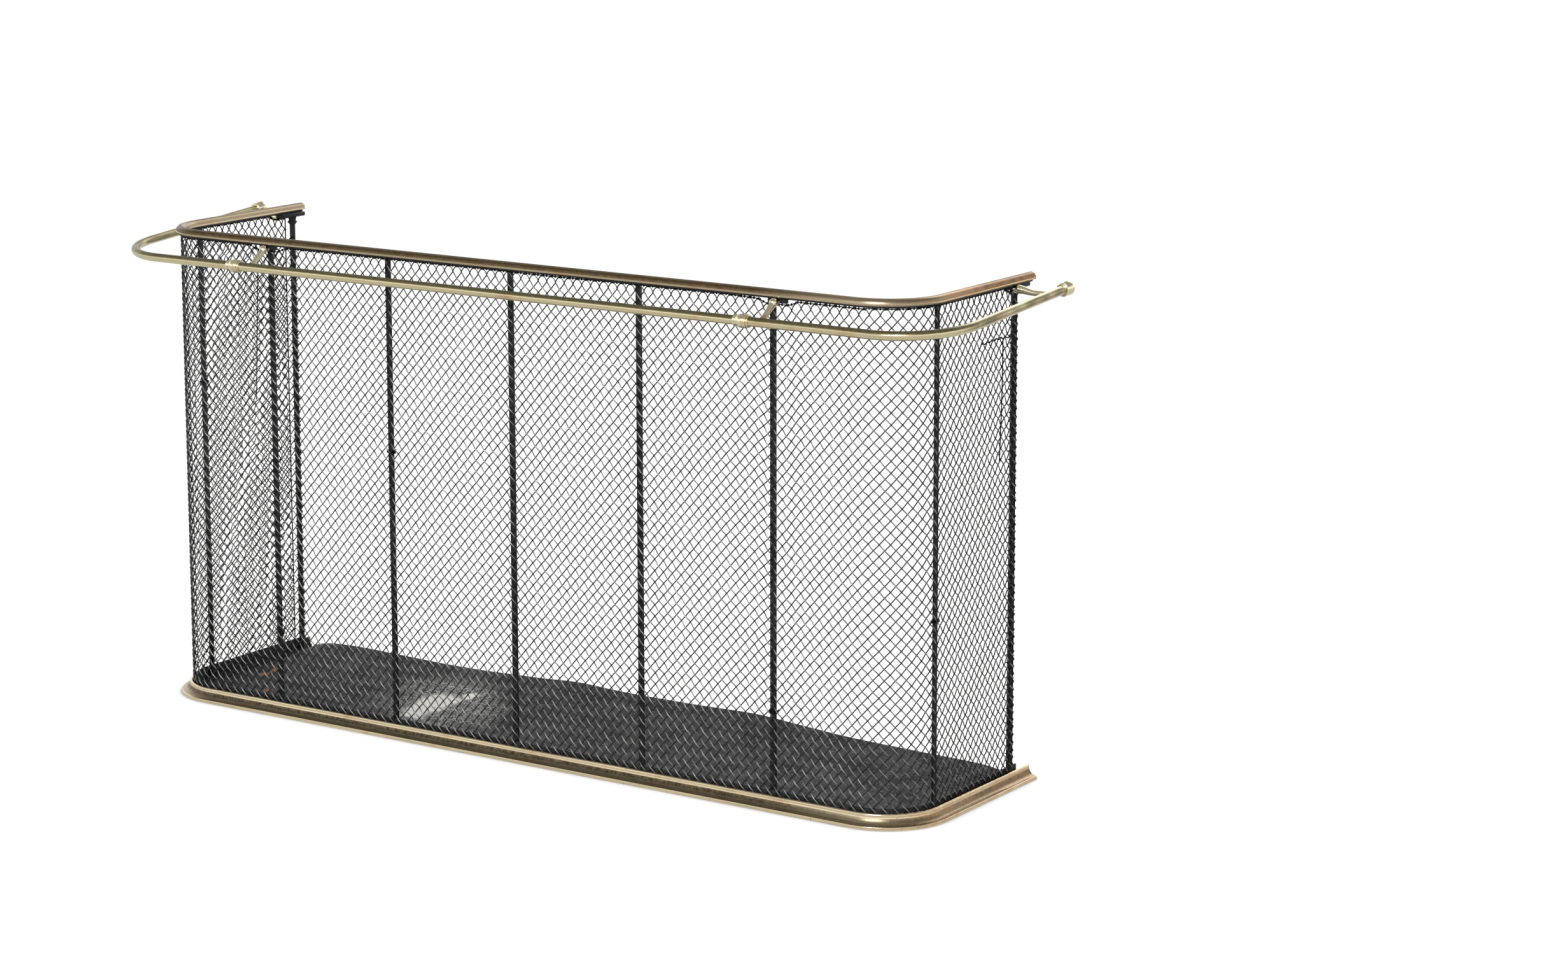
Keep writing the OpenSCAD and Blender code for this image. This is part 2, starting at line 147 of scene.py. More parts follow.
@dataclass(frozen=True)
class Course:
    """The way round the guard along the middle of the mesh, from left rear to right rear."""

    guard: GuardFrame
    rear_y: float

    @property
    def side(self) -> float:
        """Length of one straight side."""
        return self.rear_y - self.guard.front_y - self.guard.corner_r

    @property
    def bend(self) -> float:
        """Length of one corner."""
        return math.pi / 2 * self.guard.corner_r

    @property
    def front(self) -> float:
        """Length of the straight front."""
        return 2 * (self.guard.half_w - self.guard.corner_r)

    @property
    def length(self) -> float:
        """The whole way round."""
        return 2 * self.side + 2 * self.bend + self.front

    def at(self, along: float, u: float, z: float) -> Vector:
        """Finds a point by its way round, offset and height.

        Args:
            along: Way round from the left rear end.
            u: Offset outwards from the mesh.
            z: Height.

        Returns:
            The point.
        """
        g = self.guard
        x = g.half_w - g.corner_r
        y = g.front_y + g.corner_r
        if along <= self.side:
            return Vector((-g.half_w - u, self.rear_y - along, z))
        along -= self.side
        r = g.corner_r + u
        if along <= self.bend:
            turn = along / g.corner_r
            return Vector((-x - r * math.cos(turn), y - r * math.sin(turn), z))
        along -= self.bend
        if along <= self.front:
            return Vector((-x + along, g.front_y - u, z))
        along -= self.front
        if along <= self.bend:
            turn = along / g.corner_r
            return Vector((x + r * math.sin(turn), y - r * math.cos(turn), z))
        along -= self.bend
        return Vector((g.half_w + u, y + along, z))

    def offset_of(self, p: Vector) -> float:
        """Gives a point's offset outwards from the mesh.

        Args:
            p: Any point near the guard.

        Returns:
            The offset u.
        """
        g = self.guard
        x = abs(p.x) - (g.half_w - g.corner_r)
        y = g.front_y + g.corner_r - p.y
        if x > 0 and y > 0:
            return math.hypot(x, y) - g.corner_r
        return (y if x <= 0 else x) - g.corner_r


# ---- Mesh helpers ----


def held(value: float) -> float:
    """Keeps a value between 0 and 1."""
    return min(1.0, max(0.0, value))


def eased(value: float) -> float:
    """Eases a value between 0 and 1 at both ends."""
    return value * value * (3 - 2 * value)


def arc(cu: float, cz: float, r: float, start: float, end: float, steps: int) -> list[tuple[float, float]]:
    """Draws an arc of a section.

    Args:
        cu: Centre, outwards.
        cz: Centre, upwards.
        r: Radius.
        start: First angle in degrees.
        end: Last angle in degrees.
        steps: Number of chords.

    Returns:
        The points, first to last.
    """
    turns = [math.radians(start + (end - start) * i / steps) for i in range(steps + 1)]
    return [(cu + r * math.cos(t), cz + r * math.sin(t)) for t in turns]


def box_section(u0: float, u1: float, z0: float, z1: float, edge: float) -> list[tuple[float, float]]:
    """Draws a bar's section with softened edges.

    Args:
        u0: Inner face.
        u1: Outer face.
        z0: Underside.
        z1: Upper face.
        edge: Radius of the softened edges.

    Returns:
        The closed outline.
    """
    return (
        arc(u0 + edge, z0 + edge, edge, 180, 270, 2)
        + arc(u1 - edge, z0 + edge, edge, 270, 360, 2)
        + arc(u1 - edge, z1 - edge, edge, 0, 90, 2)
        + arc(u0 + edge, z1 - edge, edge, 90, 180, 2)
    )


def spun(bm: BMesh, sides: int) -> BMesh:
    """Spins an outline once round Z into a closed body.

    Args:
        bm: The outline, in the XZ plane.
        sides: Facets round the axis.

    Returns:
        The same working mesh, closed.
    """
    bmesh.ops.spin(
        bm, geom=bm.verts[:] + bm.edges[:], cent=(0, 0, 0), axis=(0, 0, 1), angle=math.tau, steps=sides,
        use_merge=True,
    )
    bmesh.ops.remove_doubles(bm, verts=bm.verts, dist=MERGE)
    bmesh.ops.recalc_face_normals(bm, faces=bm.faces)
    return bm


def turned(profile: Section, sides: int) -> BMesh:
    """Turns a profile about Z, as on a lathe.

    Args:
        profile: (radius, height) points; a radius of 0 closes an end.
        sides: Facets round the axis.

    Returns:
        The turned body.
    """
    bm = bmesh.new()
    line = [bm.verts.new((r, 0.0, h)) for r, h in profile]
    for pair in zip(line, line[1:]):
        bm.edges.new(pair)
    return spun(bm, sides)


def swept(course: Course, section: Section) -> BMesh:
    """Sweeps a closed section round the guard, with its ends closed.

    Args:
        course: The way round.
        section: Closed outline of (u, z) points.

    Returns:
        The swept body.
    """
    g = course.guard
    bm = bmesh.new()
    ring = [bm.verts.new((-g.half_w - u, course.rear_y, z)) for u, z in section]
    first = edges = [bm.edges.new((ring[i - 1], ring[i])) for i in range(len(ring))]

    def push(edges: list, way: Vector) -> list:
        """Pushes the open ring along a straight.

        Args:
            edges: The ring.
            way: How far, and which way.

        Returns:
            The ring at the far end.
        """
        steps = max(1, math.ceil(way.length / STRAIGHT_STEP))
        for _ in range(steps):
            made = bmesh.ops.extrude_edge_only(bm, edges=edges)["geom"]
            verts = [v for v in made if isinstance(v, bmesh.types.BMVert)]
            fresh = set(verts)
            bmesh.ops.translate(bm, verts=verts, vec=way / steps)
            edges = [e for e in made if isinstance(e, bmesh.types.BMEdge) and fresh.issuperset(e.verts)]
        return edges

    def turn(edges: list, cx: float) -> list:
        """Turns the open ring round a corner.

        Args:
            edges: The ring.
            cx: X of the corner's centre.

        Returns:
            The ring after the corner.
        """
        verts = list({v for e in edges for v in e.verts})
        made = bmesh.ops.spin(
            bm, geom=verts + edges, cent=(cx, g.front_y + g.corner_r, 0), axis=(0, 0, 1), angle=math.pi / 2,
            steps=20, use_merge=False,
        )["geom_last"]
        return [e for e in made if isinstance(e, bmesh.types.BMEdge)]

    edges = push(edges, Vector((0, -course.side, 0)))
    edges = turn(edges, -(g.half_w - g.corner_r))
    edges = push(edges, Vector((course.front, 0, 0)))
    edges = turn(edges, g.half_w - g.corner_r)
    edges = push(edges, Vector((0, course.side, 0)))
    bmesh.ops.contextual_create(bm, geom=first)
    bmesh.ops.contextual_create(bm, geom=edges)
    bmesh.ops.remove_doubles(bm, verts=bm.verts, dist=MERGE)
    bmesh.ops.recalc_face_normals(bm, faces=bm.faces)
    return bm


def even(lines: Iterable[Sequence[Vector]], radius: float) -> Runs:
    """Gives each line the same radius all along."""
    return [(line, [radius] * len(line)) for line in lines]


def wires(runs: Runs, sides: int) -> Mesh:
    """Draws many round wires as one mesh.

    Args:
        runs: Points and radii of each wire.
        sides: Facets round each, an even number of 4 or more.

    Returns:
        The mesh of them all, with closed ends.
    """
    curve = bpy.data.curves.new("wire_run", "CURVE")
    curve.dimensions = "3D"
    curve.bevel_depth = 1.0
    curve.bevel_resolution = (sides - 4) // 2
    curve.use_fill_caps = True
    for points, radii in runs:
        spline = curve.splines.new("POLY")
        spline.points.add(len(points) - 1)
        spline.points.foreach_set("co", [c for p in points for c in (p.x, p.y, p.z, 1.0)])
        spline.points.foreach_set("radius", list(radii))
    holder = bpy.data.objects.new("wire_run", curve)
    bpy.context.collection.objects.link(holder)
    graph = bpy.context.evaluated_depsgraph_get()
    mesh = bpy.data.meshes.new_from_object(holder.evaluated_get(graph))
    bpy.data.objects.remove(holder)
    bpy.data.curves.remove(curve)
    return mesh


def merged(parts: Iterable[BMesh | Mesh]) -> BMesh:
    """Puts several bodies into one.

    Args:
        parts: Working meshes, which are freed, or finished ones, which are removed.

    Returns:
        One working mesh.
    """
    whole = bmesh.new()
    for part in parts:
        if isinstance(part, BMesh):
            step = bpy.data.meshes.new("step")
            part.to_mesh(step)
            part.free()
        else:
            step = part
        whole.from_mesh(step)
        bpy.data.meshes.remove(step)
    return whole


def placed(bm: BMesh, where: Matrix) -> BMesh:
    """Moves a body to its place."""
    bmesh.ops.transform(bm, matrix=where, verts=bm.verts)
    return bm


def facing(place: Vector, axis: Vector) -> Matrix:
    """Stands a turned body's Z on an axis."""
    return Matrix.Translation(place) @ axis.to_track_quat("Z", "Y").to_matrix().to_4x4()


def waver(p: Vector, size: float, seed: float) -> float:
    """Gives smooth noise at a point."""
    return noise.noise(p / size + Vector((seed, 2.7 * seed, -seed)))


def nudge(bm: BMesh, how: Callable[[Vector], Vector]) -> BMesh:
    """Moves each vertex by a rule.

    Args:
        bm: The body.
        how: Gives each vertex's move from its place.

    Returns:
        The same body.
    """
    for v in bm.verts:
        v.co += how(v.co.copy())
    return bm


def finish_piece(
    name: str,
    body: BMesh | Mesh,
    material: Material,
    slot: Slot,
    stands_for: Sequence[str] = (),
    sharp: float = 40.0,
) -> bpy.types.Object:
    """Makes a finished piece of the fender.

    Args:
        name: The piece's name.
        body: Its mesh, in place.
        material: Its finish.
        slot: The record's slot, which is only named in the log.
        stands_for: Nodes of the construction model that it replaces.
        sharp: Edges steeper than this many degrees stay sharp.

    Returns:
        The object.
    """
    if isinstance(body, BMesh):
        mesh = bpy.data.meshes.new(name)
        body.to_mesh(mesh)
        body.free()
    else:
        mesh = body
        mesh.name = name
    mesh.shade_smooth()
    mesh.set_sharp_from_angle(angle=math.radians(sharp))
    mesh.materials.clear()
    mesh.materials.append(material)
    obj = bpy.data.objects.new(name, mesh)
    bpy.context.collection.objects.link(obj)
    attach(obj, "root")
    if stands_for:
        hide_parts(*stands_for)
    LOG.info("%s: %d faces, %s", name, len(mesh.polygons), slot.value)
    return obj


def mark(mesh: Mesh, name: str, rule: Callable[[Vector], float]) -> Mesh:
    """Keeps a value from 0 to 1 at each vertex, which the finish reads.

    Args:
        mesh: The piece's mesh.
        name: The value's name.
        rule: Gives the value from a vertex's place.

    Returns:
        The same mesh.
    """
    layer = mesh.attributes.new(name, "FLOAT", "POINT")
    layer.data.foreach_set("value", [held(rule(v.co)) for v in mesh.vertices])
    return mesh


def softened_box(lo: Vector, hi: Vector, edge: float, segments: int) -> BMesh:
    """Makes a bar or block with rounded edges.

    Args:
        lo: Its lowest corner.
        hi: Its highest corner.
        edge: Radius of its edges.
        segments: Steps in each rounded edge.

    Returns:
        The body.
    """
    body = bmesh.new()
    bmesh.ops.create_cube(body, size=1.0)
    bmesh.ops.scale(body, vec=hi - lo, verts=body.verts)
    bmesh.ops.translate(body, vec=(lo + hi) / 2, verts=body.verts)
    bmesh.ops.bevel(
        body, geom=body.edges[:], offset=edge, offset_type="OFFSET", affect="EDGES", segments=segments,
        profile=0.5, material=-1,
    )
    return body


def dress_nodes(names: Iterable[str], material: Material) -> None:
    """Gives nodes of the construction model a finish.

    Args:
        names: The nodes.
        material: Their finish.
    """
    for name in names:
        obj = bpy.data.objects[name]
        obj.data.materials.clear()
        obj.data.materials.append(material)
        LOG.info("%s: as constructed, %s", name, material.name)


# ---- Shader groups ----


class Nodes:
    """Short ways to place and join shader nodes in one tree."""

    def __init__(self, tree: Tree) -> None:
        """Keeps the tree."""
        self.tree = tree

    def add(self, kind: str, **values: object) -> Node:
        """Adds a node.

        Args:
            kind: The node's type.
            **values: Its settings.

        Returns:
            The node.
        """
        node = self.tree.nodes.new(kind)
        for key, value in values.items():
            setattr(node, key, value)
        return node

    def join(self, source: Socket, target: Socket) -> None:
        """Joins two sockets."""
        self.tree.links.new(source, target)

    def noise(self, where: Socket, scale: float, detail: float, rough: float = 0.55) -> Socket:
        """Adds a noise texture.

        Args:
            where: Its coordinates.
            scale: Its scale.
            detail: Its octaves.
            rough: Its roughness.

        Returns:
            The value from 0 to 1.
        """
        node = self.add("ShaderNodeTexNoise")
        node.inputs["Scale"].default_value = scale
        node.inputs["Detail"].default_value = detail
        node.inputs["Roughness"].default_value = rough
        self.join(where, node.inputs["Vector"])
        return node.outputs["Fac"]

    def ramp(
        self, value: Socket, low: float, high: float, to_low: float = 0.0, to_high: float = 1.0
    ) -> Socket:
        """Maps a range smoothly onto another.

        Args:
            value: The value.
            low: Start of its range.
            high: End of its range.
            to_low: What the start becomes.
            to_high: What the end becomes.

        Returns:
            The mapped value.
        """
        node = self.add("ShaderNodeMapRange", interpolation_type="SMOOTHSTEP")
        for key, number in (("From Min", low), ("From Max", high), ("To Min", to_low), ("To Max", to_high)):
            node.inputs[key].default_value = number
        self.join(value, node.inputs["Value"])
        return node.outputs["Result"]

    def maths(self, operation: str, a: object, b: object) -> Socket:
        """Adds a sum or product of two values or numbers.

        Args:
            operation: The Math node's operation.
            a: First socket or number.
            b: Second socket or number.

        Returns:
            The result, kept between 0 and 1.
        """
        node = self.add("ShaderNodeMath", operation=operation, use_clamp=True)
        for i, value in enumerate((a, b)):
            if isinstance(value, (int, float)):
                node.inputs[i].default_value = value
            else:
                self.join(value, node.inputs[i])
        return node.outputs[0]

    def mix(self, mask: Socket, a: object, b: object) -> Socket:
        """Mixes two colours by a mask.

        Args:
            mask: 0 shows the first, 1 the second.
            a: First colour or socket.
            b: Second colour or socket.

        Returns:
            The mixed colour.
        """
        node = self.add("ShaderNodeMix", data_type="RGBA")
        self.join(mask, node.inputs["Factor"])
        for key, value in ((6, a), (7, b)):
            if isinstance(value, tuple):
                node.inputs[key].default_value = (*value, 1.0)
            else:
                self.join(value, node.inputs[key])
        return node.outputs[2]

    def kept(self, name: str) -> Socket:
        """Reads a value that is kept at the piece's vertices."""
        return self.add("ShaderNodeAttribute", attribute_name=name).outputs["Fac"]

    def placed(self, group: Tree, where: Socket, numbers: dict[str, float]) -> Node:
        """Places a shader group.

        Args:
            group: The group.
            where: Its coordinates.
            numbers: Its number inputs.

        Returns:
            The group's node.
        """
        node = self.add("ShaderNodeGroup", node_tree=group)
        for key, number in numbers.items():
            node.inputs[key].default_value = number
        self.join(where, node.inputs["Vector"])
        return node

    def bump(self, shader: Node, height: Socket, strength: float, distance: float) -> None:
        """Roughens a surface.

        Args:
            shader: The surface's shader.
            height: The height of its bumps.
            strength: How strongly they show.
            distance: How high they are, in metres.
        """
        node = self.add("ShaderNodeBump")
        node.inputs["Strength"].default_value = strength
        node.inputs["Distance"].default_value = distance
        self.join(height, node.inputs["Height"])
        self.join(node.outputs["Normal"], shader.inputs["Normal"])

    def stretched(self, where: Socket, scale: Colour) -> Socket:
        """Stretches coordinates along the axes.

        Args:
            where: The coordinates.
            scale: Factors along X, Y and Z.

        Returns:
            The new coordinates.
        """
        node = self.add("ShaderNodeMapping")
        node.inputs["Scale"].default_value = scale
        self.join(where, node.inputs["Vector"])
        return node.outputs["Vector"]


def begin_group(name: str, numbers: dict[str, float], results: Sequence[str]) -> tuple[Nodes, Node, Node]:
    """Starts a shader group that takes a vector and some numbers.

    Args:
        name: The group's name.
        numbers: Its number inputs and what they are by default.
        results: Its outputs.

    Returns:
        Its tree, its start and its end.
    """
    group = bpy.data.node_groups.new(name, "ShaderNodeTree")
    group.interface.new_socket("Vector", in_out="INPUT", socket_type="NodeSocketVector")
    for key, number in numbers.items():
        socket = group.interface.new_socket(key, in_out="INPUT", socket_type="NodeSocketFloat")
        socket.default_value = number
    for key in results:
        group.interface.new_socket(key, in_out="OUTPUT", socket_type="NodeSocketFloat")
    n = Nodes(group)
    return n, n.add("NodeGroupInput"), n.add("NodeGroupOutput")


def mottle_group() -> Tree:
    """Builds the group of tarnish clouds, fine grain, streaks and pits.

    Returns:
        The group, with Vector, Cloud Size and Cover in, and Cloud, Grain, Streak and Pits out.
    """
    n, start, end = begin_group(
        "metal_mottle", {"Cloud Size": 30.0, "Cover": 0.5}, ("Cloud", "Grain", "Streak", "Pits")
    )
    where = start.outputs["Vector"]
    big = n.add("ShaderNodeTexNoise")
    big.inputs["Detail"].default_value = 5.0
    big.inputs["Roughness"].default_value = 0.62
    n.join(where, big.inputs["Vector"])
    n.join(start.outputs["Cloud Size"], big.inputs["Scale"])
    level = n.maths("SUBTRACT", 0.85, n.maths("MULTIPLY", start.outputs["Cover"], 0.6))
    shifted = n.add("ShaderNodeMapRange", interpolation_type="SMOOTHSTEP")
    n.join(big.outputs["Fac"], shifted.inputs["Value"])
    n.join(n.maths("SUBTRACT", level, 0.12), shifted.inputs["From Min"])
    n.join(n.maths("ADD", level, 0.12), shifted.inputs["From Max"])
    n.join(shifted.outputs["Result"], end.inputs["Cloud"])
    n.join(n.noise(where, 900.0, 3.0, 0.7), end.inputs["Grain"])
    streak = n.noise(n.stretched(where, (9.0, 9.0, 1600.0)), 1.0, 4.0, 0.6)
    n.join(n.ramp(streak, 0.35, 0.7), end.inputs["Streak"])
    spots = n.noise(where, 520.0, 2.0, 0.5)
    n.join(n.ramp(spots, 0.66, 0.74), end.inputs["Pits"])
    return n.tree


def dust_group() -> Tree:
    """Builds the group of pale specks and ash.

    Returns:
        The group, with Vector and Amount in, and Specks and Haze out.
    """
    n, start, end = begin_group("ash_dust", {"Amount": 0.5}, ("Specks", "Haze"))
    where = start.outputs["Vector"]
    fine = n.ramp(n.noise(where, 430.0, 3.0, 0.75), 0.60, 0.70)
    n.join(n.maths("MULTIPLY", fine, start.outputs["Amount"]), end.inputs["Specks"])
    haze = n.ramp(n.noise(where, 14.0, 6.0, 0.65), 0.42, 0.75)
    n.join(n.maths("MULTIPLY", haze, start.outputs["Amount"]), end.inputs["Haze"])
    return n.tree


# ---- Finishes ----


def begin_finish(name: str) -> tuple[Material, Nodes, Node, Socket]:
    """Starts a finish.

    Args:
        name: Its name.

    Returns:
        The material, its tree, its shader and the object's own coordinates.
    """
    mat = bpy.data.materials.new(name)
    mat.use_nodes = True
    n = Nodes(mat.node_tree)
    return mat, n, mat.node_tree.nodes["Principled BSDF"], n.add("ShaderNodeTexCoord").outputs["Object"]


@dataclass(frozen=True)
class AgedBrass:
    """Polished brass that has aged: pale gold, with olive-brown tarnish, streaks and pits.

    The piece's vertices keep a darkening mask, which is tarnish together with painted shade and leaves gaps
    for painted highlights, how far the brass has reddened and how far it is blackened. Evenness is how evenly
    the darkening mask covers the metal.
    """

    name: str
    bright: Colour
    tarnish: Colour
    cloud_size: float
    cover: float
    streaks: float
    rough: float
    pitted: float
    bumpy: float
    evenness: float
    copper: Colour = (0.56, 0.28, 0.12)
    end_black: Colour = (0.016, 0.015, 0.014)

    def build(self, mottle: Tree) -> Material:
        """Builds the finish.

        Args:
            mottle: The group of clouds, grain, streaks and pits.

        Returns:
            The material.
        """
        mat, n, shader, where = begin_finish(self.name)
        group = n.placed(mottle, where, {"Cloud Size": self.cloud_size, "Cover": self.cover})
        cloud, grain, streak, pits = (group.outputs[k] for k in ("Cloud", "Grain", "Streak", "Pits"))
        dirt_and_shade_mask = n.maths("MAXIMUM", cloud, n.maths("MULTIPLY", streak, self.streaks))
        dirt_and_shade_mask = n.maths("MAXIMUM", dirt_and_shade_mask, n.maths("MULTIPLY", pits, self.pitted))
        ragged = n.ramp(n.noise(where, 210.0, 5.0, 0.65), 0.3, 0.68, self.evenness, 1.0)
        # the vertex mask read here is tarnish together with painted shade, with gaps for painted highlights
        settled = n.kept("settled")
        dirt_and_shade_mask = n.maths("MAXIMUM", dirt_and_shade_mask, n.maths("MULTIPLY", settled, ragged))
        reddened = n.kept("reddened")
        warm = n.ramp(n.noise(where, 22.0, 3.0), 0.55, 0.8, 0.0, 0.6)
        blotch = n.ramp(n.noise(where, 75.0, 4.0, 0.6), 0.38, 0.62, 0.25, 1.0)
        warm = n.maths("MAXIMUM", warm, n.maths("MULTIPLY", reddened, blotch))
        metal = n.mix(warm, self.bright, self.copper)
        red_dirt = n.maths("MULTIPLY", reddened, n.maths("MULTIPLY", blotch, 0.55))
        dirt_and_shade_colour = n.mix(red_dirt, self.tarnish, self.copper)
        colour = n.mix(n.kept("sooted"), n.mix(dirt_and_shade_mask, metal, dirt_and_shade_colour), self.end_black)
        n.join(colour, shader.inputs["Base Color"])
        shader.inputs["Metallic"].default_value = 1.0
        n.join(n.ramp(dirt_and_shade_mask, 0.0, 1.0, self.rough, self.rough + 0.22), shader.inputs["Roughness"])
        n.bump(shader, n.maths("SUBTRACT", grain, n.maths("MULTIPLY", pits, 0.8)), self.bumpy, 0.0003)
        return mat


@dataclass(frozen=True)
class BlackIron:
    """Blackened iron with a little dust."""

    name: str
    black: Colour
    pale_mark: Colour
    dust: float
    rough: float

    def build(self, dust: Tree) -> Material:
        """Builds the finish.

        Args:
            dust: The group of specks and ash.

        Returns:
            The material.
        """
        mat, n, shader, where = begin_finish(self.name)
        group = n.placed(dust, where, {"Amount": self.dust})
        blotch = n.ramp(n.noise(where, 60.0, 5.0), 0.35, 0.75)
        base = n.mix(blotch, self.black, tuple(c * 1.8 for c in self.black))
        dusty = n.maths("ADD", group.outputs["Specks"], n.maths("MULTIPLY", group.outputs["Haze"], 0.4))
        n.join(n.mix(dusty, base, self.pale_mark), shader.inputs["Base Color"])
        shader.inputs["Metallic"].default_value = 0.3
        shader.inputs["Specular IOR Level"].default_value = 0.25
        n.join(n.ramp(blotch, 0.0, 1.0, self.rough, self.rough + 0.2), shader.inputs["Roughness"])
        n.bump(shader, n.noise(where, 350.0, 5.0, 0.65), 0.5, 0.0004)
        return mat


@dataclass(frozen=True)
class MeshWire:
    """Drawn iron wire: dark, with a painted highlight on the outer tops of the crimps."""

    name: str
    dark: Colour
    pale: Colour
    crown_highlight: float

    def build(self) -> Material:
        """Builds the finish.

        Returns:
            The material.
        """
        mat, n, shader, where = begin_finish(self.name)
        # the pale colour on the outer crimp tops is a painted highlight
        crown = n.kept("crown")
        patch = n.ramp(n.noise(where, 90.0, 4.0), 0.3, 0.7, 0.35, 1.0)
        pale_mark = n.maths("MULTIPLY", n.maths("MULTIPLY", crown, self.crown_highlight), patch)
        n.join(n.mix(pale_mark, self.dark, self.pale), shader.inputs["Base Color"])
        shader.inputs["Metallic"].default_value = 0.7
        shader.inputs["Specular IOR Level"].default_value = 0.2
        n.join(n.ramp(pale_mark, 0.0, 1.0, 0.45, 0.3), shader.inputs["Roughness"])
        return mat


@dataclass(frozen=True)
class FloorIron:
    """The black sheet-iron floor: charcoal with ash specks, an ash patch and rust spots.

    Each rust spot, each ash place and the halo of ash is a centre on the floor and a radius.
    """

    name: str
    dark: Colour
    ash: Colour
    rust: Colour
    spots: tuple[tuple[float, float, float], ...]
    ash_places: tuple[tuple[float, float, float], ...]
    halo: tuple[float, float, float]

    def build(self, dust: Tree) -> Material:
        """Builds the finish.

        Args:
            dust: The group of specks and ash.

        Returns:
            The material.
        """
        mat, n, shader, where = begin_finish(self.name)
        group = n.placed(dust, where, {"Amount": 0.8})
        blotch = n.ramp(n.noise(where, 25.0, 6.0, 0.65), 0.3, 0.75)
        colour = n.mix(blotch, self.dark, tuple(c * 2.2 for c in self.dark))
        specks = n.maths("MULTIPLY", group.outputs["Specks"], 0.8)
        colour = n.mix(specks, colour, self.ash)
        colour = n.mix(n.maths("MULTIPLY", group.outputs["Haze"], 0.02), colour, self.ash)
        grainy = n.ramp(n.noise(where, 380.0, 3.0, 0.8), 0.50, 0.60)
        patch = n.maths("MULTIPLY", self.spot(n, where, *self.halo), n.maths("MULTIPLY", grainy, 0.8))
        for x, y, r in self.ash_places:
            patch = n.maths("MAXIMUM", patch, self.spot(n, where, x, y, r))
        colour = n.mix(patch, colour, self.ash)
        for x, y, r in self.spots:
            colour = n.mix(self.spot(n, where, x, y, r), colour, self.rust)
        n.join(colour, shader.inputs["Base Color"])
        shader.inputs["Metallic"].default_value = 0.15
        shader.inputs["Specular IOR Level"].default_value = 0.2
        n.join(n.ramp(blotch, 0.0, 1.0, 0.5, 0.75), shader.inputs["Roughness"])
        n.bump(shader, n.noise(where, 260.0, 6.0, 0.7), 0.6, 0.0006)
        return mat

    @staticmethod
    def spot(n: Nodes, where: Socket, x: float, y: float, r: float) -> Socket:
        """Makes a ragged round mask on the floor.

        Args:
            n: The tree.
            where: Object coordinates.
            x: Centre.
            y: Centre.
            r: Radius.

        Returns:
            The mask.
        """
        ragged = n.add("ShaderNodeTexNoise")
        ragged.inputs["Scale"].default_value = 0.7 / r
        ragged.inputs["Detail"].default_value = 5.0
        n.join(where, ragged.inputs["Vector"])
        shift = n.add("ShaderNodeMixRGB", blend_type="LINEAR_LIGHT")
        shift.inputs["Fac"].default_value = r * 0.9
        n.join(where, shift.inputs[1])
        n.join(ragged.outputs["Color"], shift.inputs[2])
        flat = n.add("ShaderNodeVectorMath", operation="MULTIPLY")
        flat.inputs[1].default_value = (1, 1, 0)
        n.join(shift.outputs[0], flat.inputs[0])
        away = n.add("ShaderNodeVectorMath", operation="DISTANCE")
        away.inputs[1].default_value = (x, y, 0)
        n.join(flat.outputs[0], away.inputs[0])
        return n.ramp(away.outputs["Value"], r * 0.45, r, 1.0, 0.0)


